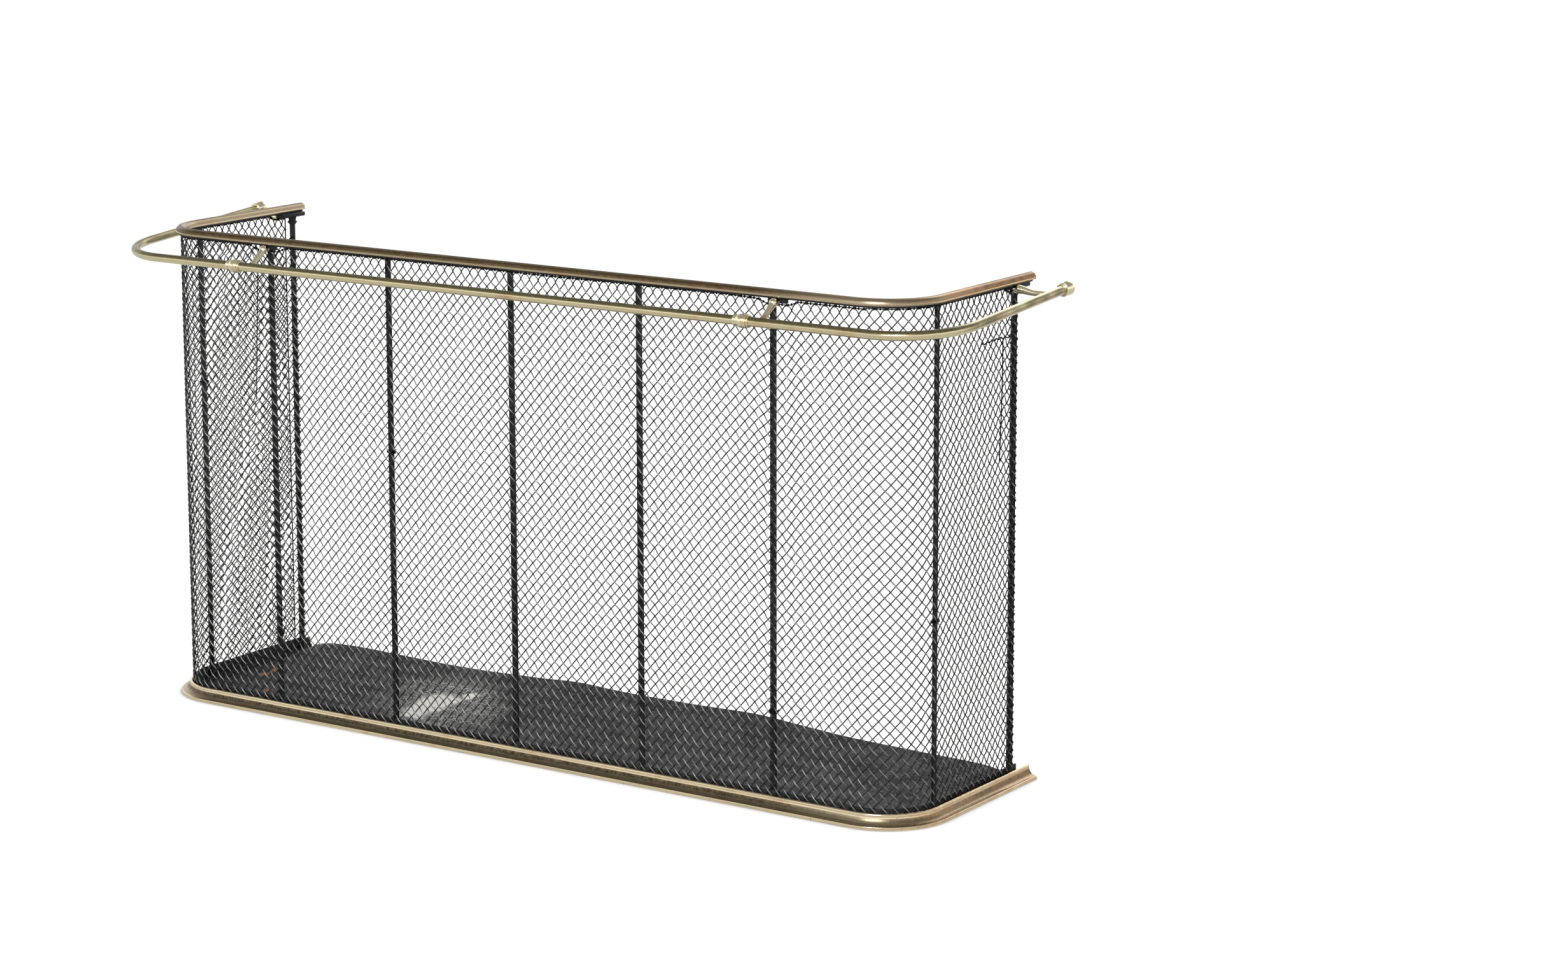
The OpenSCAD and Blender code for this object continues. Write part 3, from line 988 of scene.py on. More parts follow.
@dataclass(frozen=True)
class Finishes:
    """Every finish of the fender, built once."""

    kerb: Material
    cap: Material
    rail: Material
    turned_brass: Material
    iron: Material
    base_iron: Material
    floor: Material
    straight_wire: Material
    crimped_wire: Material

    @classmethod
    def build(cls) -> "Finishes":
        """Builds the finishes.

        Returns:
            The set.
        """
        mottle = mottle_group()
        dust = dust_group()
        olive = (0.165, 0.14, 0.072)
        brown = (0.095, 0.062, 0.028)
        hollow_brown = (0.05, 0.037, 0.019)
        black = (0.008, 0.008, 0.009)
        pale_mark = (0.2, 0.19, 0.18)
        return cls(
            # kerb: its dark colour is tarnish in the hollow together with painted shade
            kerb=AgedBrass(
                "kerb_aged_brass", (0.84, 0.70, 0.46), hollow_brown, cloud_size=55.0, cover=0.08, streaks=0.35,
                rough=0.14, pitted=1.0, bumpy=0.2, evenness=0.86,
            ).build(mottle),
            # cap: its brown is tarnish together with painted shade
            cap=AgedBrass(
                "cap_aged_brass", (0.60, 0.49, 0.33), brown, cloud_size=40.0, cover=0.1, streaks=0.25,
                rough=0.2, pitted=0.5, bumpy=0.15, evenness=0.9,
            ).build(mottle),
            # rail: its olive also paints the dark reflection along the top
            rail=AgedBrass(
                "rail_aged_brass", (0.70, 0.61, 0.38), olive, cloud_size=60.0, cover=0.0, streaks=0.08,
                rough=0.13, pitted=0.2, bumpy=0.06, evenness=0.85,
            ).build(mottle),
            turned_brass=AgedBrass(
                "turned_aged_brass", (0.80, 0.72, 0.50), olive, cloud_size=120.0, cover=0.0, streaks=0.1,
                rough=0.16, pitted=0.2, bumpy=0.06, evenness=0.7,
            ).build(mottle),
            iron=BlackIron("black_frame_iron", black, pale_mark, dust=0.2, rough=0.4).build(dust),
            base_iron=BlackIron("black_base_iron", black, pale_mark, dust=0.35, rough=0.5).build(dust),
            floor=FloorIron(
                "sooty_floor_iron",
                dark=(0.0060, 0.0060, 0.0072),
                ash=(0.84, 0.83, 0.78),
                rust=(0.30, 0.11, 0.04),
                spots=(
                    (-0.540, -0.004, 0.010),
                    (-0.536, 0.019, 0.011),
                    (-0.484, -0.060, 0.008),
                    (0.559, 0.016, 0.006),
                    (0.582, -0.012, 0.005),
                ),
                ash_places=(
                    (-0.230, -0.044, 0.026),
                    (-0.238, -0.014, 0.036),
                    (-0.240, 0.020, 0.038),
                    (-0.212, 0.052, 0.017),
                ),
                halo=(-0.225, 0.015, 0.125),
            ).build(dust),
            # wires: the straight finish is a shaded copy of one wire, the crimped one carries a painted
            # highlight on its crimp tops
            straight_wire=MeshWire(
                "dark_straight_wire", dark=(0.007, 0.007, 0.0075), pale=(0.12, 0.12, 0.115), crown_highlight=0.25
            ).build(),
            crimped_wire=MeshWire(
                "worn_crimped_wire", dark=(0.010, 0.010, 0.011), pale=(0.34, 0.34, 0.33), crown_highlight=0.9
            ).build(),
        )


# ---- Sub-assemblies ----


@dataclass
class Assembly:
    """A sub-assembly: the guard that it stands on, and the fender's finishes."""

    guard: GuardFrame
    finishes: Finishes

    def iron_piece(self, name: str, node: str, body: BMesh) -> None:
        """Makes a piece of the black frame."""
        finish_piece(name, body, self.finishes.iron, Slot.FRAME, [node])

    def turned_piece(self, name: str, node: str, body: BMesh | Mesh) -> None:
        """Makes a piece of turned brass, whose grooves stay crisp."""
        finish_piece(name, body, self.finishes.turned_brass, Slot.RAIL, [node], sharp=60)

    def wire_piece(self, name: str, body: BMesh | Mesh, *nodes: str) -> None:
        """Makes a piece of dark wire, smooth all over."""
        finish_piece(name, body, self.finishes.straight_wire, Slot.MESH, nodes, sharp=180)


@dataclass
class Kerb(Assembly):
    """The brass kerb: a hollow moulding with a rounded top bead and a square bottom lip."""

    out: float = 0.017
    wall_u: float = 0.0012
    ledge_u: float = -0.0011
    ledge_z: float = 0.0075
    height: float = 0.018
    lip_h: float = 0.0045
    lip_w: float = 0.0016
    lip_edge: float = 0.0009
    bead_r: float = 0.0022
    sheet: float = 0.0012
    dent_depth: float = 0.0003
    blackened_run: float = 0.045
    dark_band_top: float = 0.7  # shares of the kerb's height
    dark_band_full: float = 0.48
    dark_band_thins: float = 0.28
    dark_band_foot: float = 0.66
    corner_share: float = 0.7
    highlight_reach: float = 0.13

    def face(self, inset: float) -> list[tuple[float, float]]:
        """Draws the moulding's face, pulled in by the sheet's thickness or not at all.

        Args:
            inset: How far it is pulled in.

        Returns:
            Points from the inner top edge to the foot.
        """
        bead_u = self.wall_u + self.bead_r
        bead_z = self.height - self.bead_r
        step_u = self.out - self.lip_w
        hollow_w = step_u - bead_u - self.bead_r
        hollow_h = bead_z - self.lip_h
        squeeze = (hollow_h + inset) / (hollow_w + inset)
        hollow = [
            (step_u + u, bead_z + z * squeeze) for u, z in arc(0, 0, hollow_w + inset, 180, 270, 28)
        ]
        edge = self.lip_edge
        lip = arc(self.out - inset - edge, self.lip_h - inset - edge, edge, 90, 0, 5)
        return arc(bead_u, bead_z, self.bead_r - inset, 180, 0, 12) + hollow + lip + [(self.out - inset, 0.0)]

    def build(self) -> None:
        """Builds the kerb."""
        outline = (
            [(self.ledge_u, 0.0), (self.ledge_u, self.ledge_z), (self.wall_u, self.ledge_z)]
            + self.face(0.0)
            + self.face(self.sheet)[::-1]
            + [
                (self.wall_u + self.sheet, self.ledge_z - self.sheet),
                (self.ledge_u + self.sheet, self.ledge_z - self.sheet),
                (self.ledge_u + self.sheet, 0.0),
            ]
        )
        course = Course(self.guard, self.guard.cap_rear)
        body = swept(course, outline)

        def dent(p: Vector) -> Vector:
            """Wavers the moulding a little, less at its foot."""
            rise = min(1.0, p.z / self.height)
            return Vector((0, 0, -self.dent_depth * rise * (1 + waver(p, 0.12, 3.1))))

        nudge(body, dent)
        kerb = finish_piece("kerb", body, self.finishes.kerb, Slot.KERB, ["kerb_moulding"])
        # the kerb's darkening: tarnish in the hollow with painted shade, and painted shade on its hidden
        # faces
        mark(kerb.data, "settled", lambda p: self.kept(p) * self.dirt_and_shade_share(course.offset_of(p), p.z))
        mark(kerb.data, "sooted", lambda p: self.blackened_end(course.offset_of(p), p))
        mark(kerb.data, "reddened", lambda p: self.copper(course.offset_of(p), p))

    def dirt_and_shade_share(self, u: float, z: float) -> float:
        """Gives the darkening at a place of the section: tarnish in the hollow together with painted shade,
        and painted shade on the hidden faces.

        Args:
            u: Offset outwards.
            z: Height.

        Returns:
            The amount: the lower half of the hollow and the hidden faces are dark.
        """
        # hidden inner faces and faces under the lip get painted shade; the lip's outer face stays clear
        if u < self.wall_u + 0.0004 or z < self.lip_h - self.lip_edge:
            return 0.0 if u > self.out - self.lip_edge - 0.0001 else 1.0
        if u > self.out - self.lip_w + 0.0002:
            return 0.0
        # the hollow is darkened below a fixed share of the height, less towards the foot: tarnish with
        # painted shade
        rise = z / self.height
        full = held((rise - self.dark_band_thins) / (self.dark_band_full - self.dark_band_thins))
        return held((self.dark_band_top - rise) / 0.02) * (self.dark_band_foot + (1 - self.dark_band_foot) * full)

    def kept(self, p: Vector) -> float:
        """Gives how much of the hollow's darkening stays: less near the right corner, which shows brighter
        there as a painted highlight.
        """
        away = min(1.0, self.guard.off_right_corner(p) / self.highlight_reach)
        return self.corner_share + (1 - self.corner_share) * away

    def blackened_end(self, u: float, p: Vector) -> float:
        """Gives how black the left rear end is: its end face and the inner face beside it are made near
        black.

        Args:
            u: Offset outwards.
            p: The place.

        Returns:
            1 on the end and on the inner face beside it, otherwise 0.
        """
        before_end = self.guard.cap_rear - p.y
        inner = u < self.wall_u + self.sheet and before_end < self.blackened_run
        return 1.0 if p.x < 0 and (inner or before_end < 0.002) else 0.0

    def copper(self, u: float, p: Vector) -> float:
        """Gives how far the brass has reddened at a place.

        Args:
            u: Offset outwards.
            p: The place.

        Returns:
            The amount, along the inner top edge, at the left corner and on the right side.
        """
        edge = 0.9 if u < self.wall_u + 0.0009 and p.z > self.height - 1.2 * self.bead_r else 0.0
        g = self.guard
        corner = 0.5 * held((-p.x - g.half_w + 0.06) / 0.06)
        side = 0.45 * held((p.x - g.half_w + 0.03) / 0.03)
        return max(edge, corner, side)


@dataclass
class HearthFloor(Assembly):
    """The sheet-iron floor, which has warped and lifts off its bar along the rear edge."""

    end_lift: float = 0.0085
    middle_lift: float = 0.0105
    buckles: tuple[tuple[float, float, float], ...] = (  # place, width and height of each
        (-0.10, 0.06, 0.0035),
        (-0.50, 0.13, 0.0075),
        (0.20, 0.09, 0.005),
    )
    flat_front: float = 0.05
    clamped: float = 0.016
    clamp_fade: float = 0.012
    ripple: float = 0.0007
    cuts_x: int = 80
    cuts_y: int = 16

    def build(self) -> None:
        """Builds the warped floor from the construction model's flat one."""
        lo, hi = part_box("floor_plate")
        body = bmesh.new()
        body.from_mesh(bpy.data.objects["floor_plate"].data)
        bmesh.ops.remove_doubles(body, verts=body.verts, dist=MERGE)
        bmesh.ops.dissolve_limit(body, angle_limit=math.radians(1), verts=body.verts, edges=body.edges)
        for count, axis, start, end in (
            (self.cuts_x, Vector((1, 0, 0)), lo.x, hi.x),
            (self.cuts_y, Vector((0, 1, 0)), lo.y, hi.y),
        ):
            for i in range(1, count):
                bmesh.ops.bisect_plane(
                    body,
                    geom=body.verts[:] + body.edges[:] + body.faces[:],
                    plane_co=axis * (start + (end - start) * i / count),
                    plane_no=axis,
                    dist=MERGE,
                )
        nudge(body, lambda p: Vector((0, 0, self.rise(p, lo, hi))))
        finish_piece("hearth_floor", body, self.finishes.floor, Slot.FLOOR, ["floor_plate"], sharp=30)

    def rise(self, p: Vector, lo: Vector, hi: Vector) -> float:
        """Gives how far the floor has lifted at a place.

        Args:
            p: The place.
            lo: The floor's lowest corner.
            hi: The floor's highest corner.

        Returns:
            The lift.
        """
        back = max(0.0, (p.y - lo.y - self.flat_front) / (hi.y - lo.y - self.flat_front))
        free = 1 - math.exp(-max(0.0, hi.x - self.clamped - abs(p.x)) / self.clamp_fade)
        arch = self.end_lift + self.middle_lift * math.cos(math.pi * p.x / (2 * hi.x)) ** 2
        buckled = sum(high * math.exp(-(((p.x - at) / wide) ** 2)) for at, wide, high in self.buckles)
        ripple = self.ripple * waver(Vector((p.x, p.y, 0)), 0.07, 5.2)
        return max(0.0, (arch + buckled + ripple) * back**1.5 * free)


@dataclass
class BaseIron(Assembly):
    """The iron base bar, the angle round the floor's edge and the rivets."""

    outer_u: float = -0.0012
    foot_z: float = 0.006
    height: float = 0.017
    width: float = 0.015
    thick: float = 0.0025

    def build(self) -> None:
        """Builds the angle and dresses the bar and rivets."""
        edge = 0.0005
        inner = self.outer_u - self.thick
        outline = (
            [(self.outer_u, self.foot_z)]
            + arc(self.outer_u - edge, self.foot_z + self.height - edge, edge, 0, 90, 3)
            + arc(inner + edge, self.foot_z + self.height - edge, edge, 90, 180, 3)
            + [(inner, self.foot_z + self.thick)]
            + arc(self.outer_u - self.width + edge, self.foot_z + self.thick - edge, edge, 90, 180, 3)
            + [(self.outer_u - self.width, self.foot_z)]
        )
        body = swept(Course(self.guard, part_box("base_angle")[1].y), outline)
        finish_piece("base_angle_iron", body, self.finishes.base_iron, Slot.BASE, ["base_angle"])
        dress_nodes(["base_bar", "stay_rivets", "floor_rivets"], self.finishes.base_iron)


@dataclass
class Uprights(Assembly):
    """The flat stays and the round rear posts."""

    edge: float = 0.0006
    post_r: float = 0.004
    collar_drop: float = 0.008

    def build(self) -> None:
        """Builds every upright."""
        for name in [f"front_stay_{i}" for i in range(1, 6)] + ["corner_stay_left", "corner_stay_right"]:
            body = softened_box(*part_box(name), self.edge, 2)
            self.iron_piece(f"{name}_flat", name, body)
        for side in Side:
            self.build_post(side)

    def build_post(self, side: Side) -> None:
        """Builds a rear post with its turned collar.

        Args:
            side: Which post.
        """
        name = side.of("rear_post")
        lo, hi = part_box(name)
        r = self.post_r
        ring = (hi.x - lo.x) / 2
        z = hi.z - self.collar_drop
        profile = (
            [(0.0, lo.z), (r, lo.z), (r, z - 0.0022), (r + 0.0012, z - 0.0012), (r + 0.0012, z - 0.0002)]
            + arc(ring - 0.0011, z + 0.0011, 0.0011, -90, 90, 6)
            + [(r + 0.0020, z + 0.0026), (r + 0.0010, z + 0.0040), (r + 0.0018, hi.z), (0.0, hi.z)]
        )
        body = turned(profile, 20)
        centre = (lo + hi) / 2
        placed(body, Matrix.Translation((centre.x, centre.y, 0)))
        self.iron_piece(f"{name}_turned", name, body)


@dataclass
class CapAndStrap(Assembly):
    """The brass cap along the top, the iron strap under it and the blocks."""

    lip: float = 0.0020
    step: float = 0.0004
    strap_w: float = 0.012
    block_edge: float = 0.0014
    corner_share: float = 0.4
    highlight_reach: float = 0.14

    def build(self) -> None:
        """Builds the cap and the strap."""
        lo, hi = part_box("cap_rail")
        half_w = self.guard.front_y - lo.y
        foot = lo.z
        shoulder = foot + self.lip
        edge = 0.0004
        round_r = half_w - self.step
        squeeze = (hi.z - shoulder) / round_r
        crown = [(u, shoulder + (z - shoulder) * squeeze) for u, z in arc(0, shoulder, round_r, 0, 180, 24)]
        outline = (
            arc(-half_w + edge, foot + edge, edge, 180, 270, 2)
            + arc(half_w - edge, foot + edge, edge, 270, 360, 2)
            + [(half_w, shoulder - self.step), (half_w - self.step, shoulder - 0.0001)]
            + crown[1:-1]
            + [(-half_w + self.step, shoulder - 0.0001), (-half_w, shoulder - self.step)]
        )
        course = Course(self.guard, self.guard.cap_rear)
        cap = finish_piece("cap_moulding", swept(course, outline), self.finishes.cap, Slot.CAP, ["cap_rail"])
        rise = hi.z - shoulder

        def dirt_and_shade_mask(p: Vector) -> float:
            """Gives the cap's darkening at a place, with its painted highlights left clear."""
            return self.dirt_and_shade_share((p.z - shoulder) / rise, course.offset_of(p)) * self.kept(p)

        mark(cap.data, "settled", dirt_and_shade_mask)
        mark(cap.data, "reddened", self.copper)
        strap_lo, strap_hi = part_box("top_strap")
        outer = self.guard.front_y - strap_lo.y
        strap = box_section(outer - self.strap_w, outer, strap_lo.z, strap_hi.z, 0.0005)
        body = swept(Course(self.guard, strap_hi.y), strap)
        self.iron_piece("top_strap_iron", "top_strap", body)
        for name in ("front_block_left", "front_block_right", "rear_block_left", "rear_block_right"):
            body = softened_box(*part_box(name), self.block_edge, 3)
            self.iron_piece(f"{name}_iron", name, body)

    @staticmethod
    def dirt_and_shade_share(rise: float, u: float) -> float:
        """Gives the darkening at a place of the section: tarnish with painted shade, and painted highlights.

        Args:
            rise: Height above the lip, as a share of the cap's own rise.
            u: Offset outwards.

        Returns:
            The amount: dark all over, tarnish with painted shade; the lip is clear and a thin band below the
                crown half clear, as painted highlights.
        """
        # the lip and a thin band below the crown are left clear as painted highlights
        if rise < 0.02:
            return 0.0
        band = max(0.0, 1 - abs(rise - 0.86) / 0.07)
        return 1.0 - 0.45 * band if u > 0 else 0.6

    def kept(self, p: Vector) -> float:
        """Gives how much of the darkening stays: less near the right corner, which shows brighter there as a
        painted highlight.
        """
        away = min(1.0, self.guard.off_right_corner(p) / self.highlight_reach)
        return self.corner_share + (1 - self.corner_share) * away

    def copper(self, p: Vector) -> float:
        """Gives how far the brass has reddened, most along the right side and its corner.

        Args:
            p: The place.

        Returns:
            The amount.
        """
        side = (p.x - self.guard.half_w + 0.03) / 0.03
        back = (p.y - self.guard.front_y - 0.02) / 0.12
        return 0.75 * held(side) * max(0.15, min(1.0, back))


@dataclass
class OuterRail(Assembly):
    """The brass rail outside the guard, its collars, knobs and bracket arms."""

    bend_r: float = 0.092
    ball_r: float = 0.006
    ball_u: float = 0.00937
    block_u: float = 0.0023
    arm_under: float = 0.003
    bite: float = 0.0015
    dark_top_from: float = 0.24
    dark_top_run: float = 0.12

    def __post_init__(self) -> None:
        """Reads the middle rail's axis and thickness."""
        lo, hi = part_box("rail_middle")
        self.mid = (lo + hi) / 2
        self.tube_r = (hi.z - lo.z) / 2
        self.ball_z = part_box("front_arm_right")[1].z - self.ball_r

    def far_x(self, side: Side) -> float:
        """Distance of a side rail's axis from the middle of the fender."""
        lo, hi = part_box(side.of("rail"))
        return max(hi.x, -lo.x) - self.tube_r

    def climb(self, side: Side) -> float:
        """Finds how steeply a side rail climbs to the back.

        Args:
            side: Which rail.

        Returns:
            The angle in radians.
        """
        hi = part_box(side.of("rail"))[1]
        angle = 0.0
        for _ in range(6):
            rise = hi.z - self.mid.z - self.tube_r * math.cos(angle)
            run = hi.y - self.mid.y - self.tube_r * math.sin(angle)
            angle = math.atan2(rise, run)
        return angle

    def reach(self, side: Side) -> float:
        """Measures a bent rail behind the front rail's axis, along its climb.

        Args:
            side: Which rail.

        Returns:
            The length.
        """
        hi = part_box(side.of("rail"))[1]
        climb = self.climb(side)
        return (hi.y - self.mid.y - self.tube_r * math.sin(climb)) / math.cos(climb)

    def on_bent(self, side: Side, x: float, y: float) -> Vector:
        """Places a point that was drawn flat onto the climbing bent rail."""
        climb = self.climb(side)
        return Vector((side.value * x, self.mid.y + y * math.cos(climb), self.mid.z + y * math.sin(climb)))

    def painted_dark_top(self, rise: float) -> float:
        """Gives the painted dark reflection along a tube's top, by the height above its axis in radii."""
        return held((rise - self.dark_top_from) / self.dark_top_run)

    def build(self) -> None:
        """Builds the whole rail."""
        lo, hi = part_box("rail_middle")
        count = 60
        line = [Vector((lo.x + (hi.x - lo.x) * i / count, self.mid.y, self.mid.z)) for i in range(count + 1)]
        body = wires(even([line], self.tube_r), 32)
        # the dark band along the tube's top is a painted reflection
        mark(body, "settled", lambda p: self.painted_dark_top((p.z - self.mid.z) / self.tube_r))
        finish_piece("rail_middle_tube", body, self.finishes.rail, Slot.RAIL, ["rail_middle"])
        for side in Side:
            self.build_bent(side)
            self.build_knob(side)
            self.build_front_arm(side)
            self.build_rear_arm(side)
            self.build_collar(side)
        dress_nodes(["rail_spigot_left", "rail_spigot_right"], self.finishes.iron)

    def build_bent(self, side: Side) -> None:
        """Builds one bent rail.

        Args:
            side: Which one.
        """
        name = side.of("rail")
        lo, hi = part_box(name)
        start = lo.x if side is Side.RIGHT else -hi.x
        far_x = self.far_x(side)
        bend_x = far_x - self.bend_r
        length = self.reach(side)
        flat = [(start + (bend_x - start) * i / 10, 0.0) for i in range(10)]
        flat += [
            (bend_x + self.bend_r * math.sin(t), self.bend_r * (1 - math.cos(t)))
            for t in (math.pi / 2 * i / 32 for i in range(33))
        ]
        flat += [(far_x, self.bend_r + (length - self.bend_r) * i / 12) for i in range(1, 13)]
        line = [self.on_bent(side, x, y) for x, y in flat]
        body = wires(even([line], self.tube_r), 32)
        slope = math.tan(self.climb(side))
        # the dark band along the top is a painted reflection; the side run gets a mottled dark band
        mark(body, "settled", lambda p: self.side_shade_and_mottle(p, slope))
        finish_piece(f"{name}_tube", body, self.finishes.rail, Slot.RAIL, [name])

    def side_shade_and_mottle(self, p: Vector, slope: float) -> float:
        """Gives a bent rail's darkening: the painted dark reflection along its top, and along the side run a
        mottled dark band over all but the edges.

        Args:
            p: The place.
            slope: The rail's climb to the back.

        Returns:
            The amount.
        """
        rise = (p.z - self.mid.z - (p.y - self.mid.y) * slope) / self.tube_r
        top = self.painted_dark_top(rise)
        run = held((p.y - self.mid.y - 0.5 * self.bend_r) / 0.05)
        broad = held((rise + 0.45) / 0.2) * held((0.97 - rise) / 0.08)
        cloudy = 0.8 + 0.6 * waver(p, 0.012, 3.3)
        return top * (1 - run) + broad * cloudy * run

    def build_collar(self, side: Side) -> None:
        """Builds the turned collar over a joint: ring, swelling barrel, double ring and ring.

        Args:
            side: Which one.
        """
        name = side.of("rail_collar")
        lo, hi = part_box(name)
        r = (hi.z - lo.z) / 2
        length = hi.x - lo.x
        bore = self.tube_r + 0.0001
        profile = [(bore, 0.0)]
        profile += arc(r * 0.76, 0.0010, 0.0009, -90, 90, 6)
        profile += [(r * 0.72, 0.0022)]
        barrel = 14
        for i in range(barrel + 1):
            t = i / barrel
            swell = math.sin(math.pi / 2 * min(1.0, t / 0.78)) ** 1.4
            profile.append((r * (0.73 + 0.25 * swell), 0.0026 + 0.0110 * t))
        profile += [(r * 0.84, 0.0142)]
        profile += arc(r * 0.88, 0.0154, 0.0010, -90, 90, 6)
        profile += [(r * 0.85, 0.0166)]
        profile += arc(r * 0.84, 0.0177, 0.0010, -90, 90, 6)
        profile += [(r * 0.74, 0.0190)]
        profile += arc(r * 0.74, length - 0.0010, 0.0009, -90, 90, 6)
        profile += [(bore, length)]
        body = turned(profile, 32)
        mid = (lo + hi) / 2
        placed(body, facing(Vector((lo.x, mid.y, mid.z)), Vector((1, 0, 0))))
        self.turned_piece(f"{name}_turned", name, body)

    def build_knob(self, side: Side) -> None:
        """Builds the turned knob on a bent rail's end: flange, groove, swelling barrel and dome.

        Args:
            side: Which one.
        """
        name = side.of("end_knob")
        lo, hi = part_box(name)
        climb = self.climb(side)
        foot = self.on_bent(side, self.far_x(side), self.reach(side))
        way = Vector((0, math.cos(climb), math.sin(climb)))
        r = (hi.x - lo.x) / 2
        length = 0.020
        ring = 0.0015
        profile = [(0.0, 0.0), (self.tube_r + 0.0006, 0.0)]
        profile += arc(r * 0.80, ring, ring, -90, 90, 8)
        profile += [(r * 0.70, 0.0034)]
        steps = 12
        quarter = [math.pi / 2 * i / steps for i in range(steps + 1)]
        for i, t in enumerate(quarter):
            profile.append((r * (0.73 + 0.27 * math.sin(t) ** 1.5), 0.0040 + 0.0092 * i / steps))
        full = 0.0142
        dome = length - full
        profile += [(r * math.cos(t) ** 0.8, full + dome * math.sin(t)) for t in quarter[:-1]]
        profile += [(0.0, length)]
        body = turned(profile, 32)
        placed(body, facing(foot, way))
        self.turned_piece(f"{name}_turned", name, body)

    def neck(self, start: Vector, way: Vector) -> BMesh:
        """Builds the short neck between a block and a ball.

        Args:
            start: Its place on the block.
            way: The way that it points.

        Returns:
            The neck.
        """
        r = self.ball_r / 2
        length = self.ball_u - self.block_u
        body = turned([(0.0, 0.0), (r + 0.0008, 0.0), (r, 0.0012), (r, length), (0.0, length)], 16)
        return placed(body, facing(start, way))

    def build_front_arm(self, side: Side) -> None:
        """Builds a front bracket: ball, neck and a stout arm with a flared foot.

        Args:
            side: Which one.
        """
        name = side.of("front_arm")
        lo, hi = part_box(name)
        x = (lo.x + hi.x) / 2
        ball = Vector((x, self.guard.front_y - self.ball_u, self.ball_z))
        way = Vector((x, self.mid.y, self.mid.z)) - ball
        r = self.ball_r
        root = 0.0044
        lean = math.asin(root / r)
        turns = [(math.pi - lean) * i / 16 for i in range(17)]
        profile = [(r * math.sin(t), -r * math.cos(t)) for t in turns]
        root_h = r * math.cos(lean)
        length = way.length - self.tube_r + self.bite - root_h
        steps = 16
        for i in range(1, steps + 1):
            t = i / steps
            slim = 0.0007 * math.sin(math.pi / 2 * min(1.0, t / 0.6))
            flare = 0.0010 * max(0.0, (t - 0.7) / 0.3) ** 2
            profile.append((root - slim + flare, root_h + length * t))
        profile.append((0.0, root_h + length))
        body = placed(turned(profile, 28), facing(ball, way))
        start = Vector((x, self.guard.front_y - self.block_u, self.ball_z))
        whole = merged([body, self.neck(start, Vector((0, -1, 0)))])
        self.turned_piece(f"{name}_turned", name, whole)

    def build_rear_arm(self, side: Side) -> None:
        """Builds a rear bracket: a stout root under the cap and an S-curved arm.

        Args:
            side: Which one.
        """
        name = side.of("rear_arm")
        lo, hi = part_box(name)
        y = (lo.y + hi.y) / 2
        level = self.mid.z + (y - self.mid.y) * math.tan(self.climb(side)) - self.arm_under
        rail_u = self.far_x(side) - self.guard.half_w
        line = []
        radii = [0.0046, 0.0051, 0.0055, 0.0058]
        for i in range(len(radii)):
            u = self.block_u + (self.ball_u - self.block_u) * i / len(radii)
            line.append(Vector((side.value * (self.guard.half_w + u), y, self.ball_z)))
        count = 32
        for i in range(count + 1):
            t = i / count
            u = self.ball_u + (rail_u - self.ball_u - self.tube_r + self.bite) * t
            z = self.ball_z + (level - self.ball_z) * eased(min(1.0, t / 0.5))
            line.append(Vector((side.value * (self.guard.half_w + u), y, z)))
            radii.append(0.0060 - 0.0025 * min(1.0, t / 0.5) ** 0.8 + 0.0004 * max(0.0, (t - 0.8) / 0.2))
        arm = wires([(line, radii)], 24)
        self.turned_piece(f"{name}_curved", name, arm)


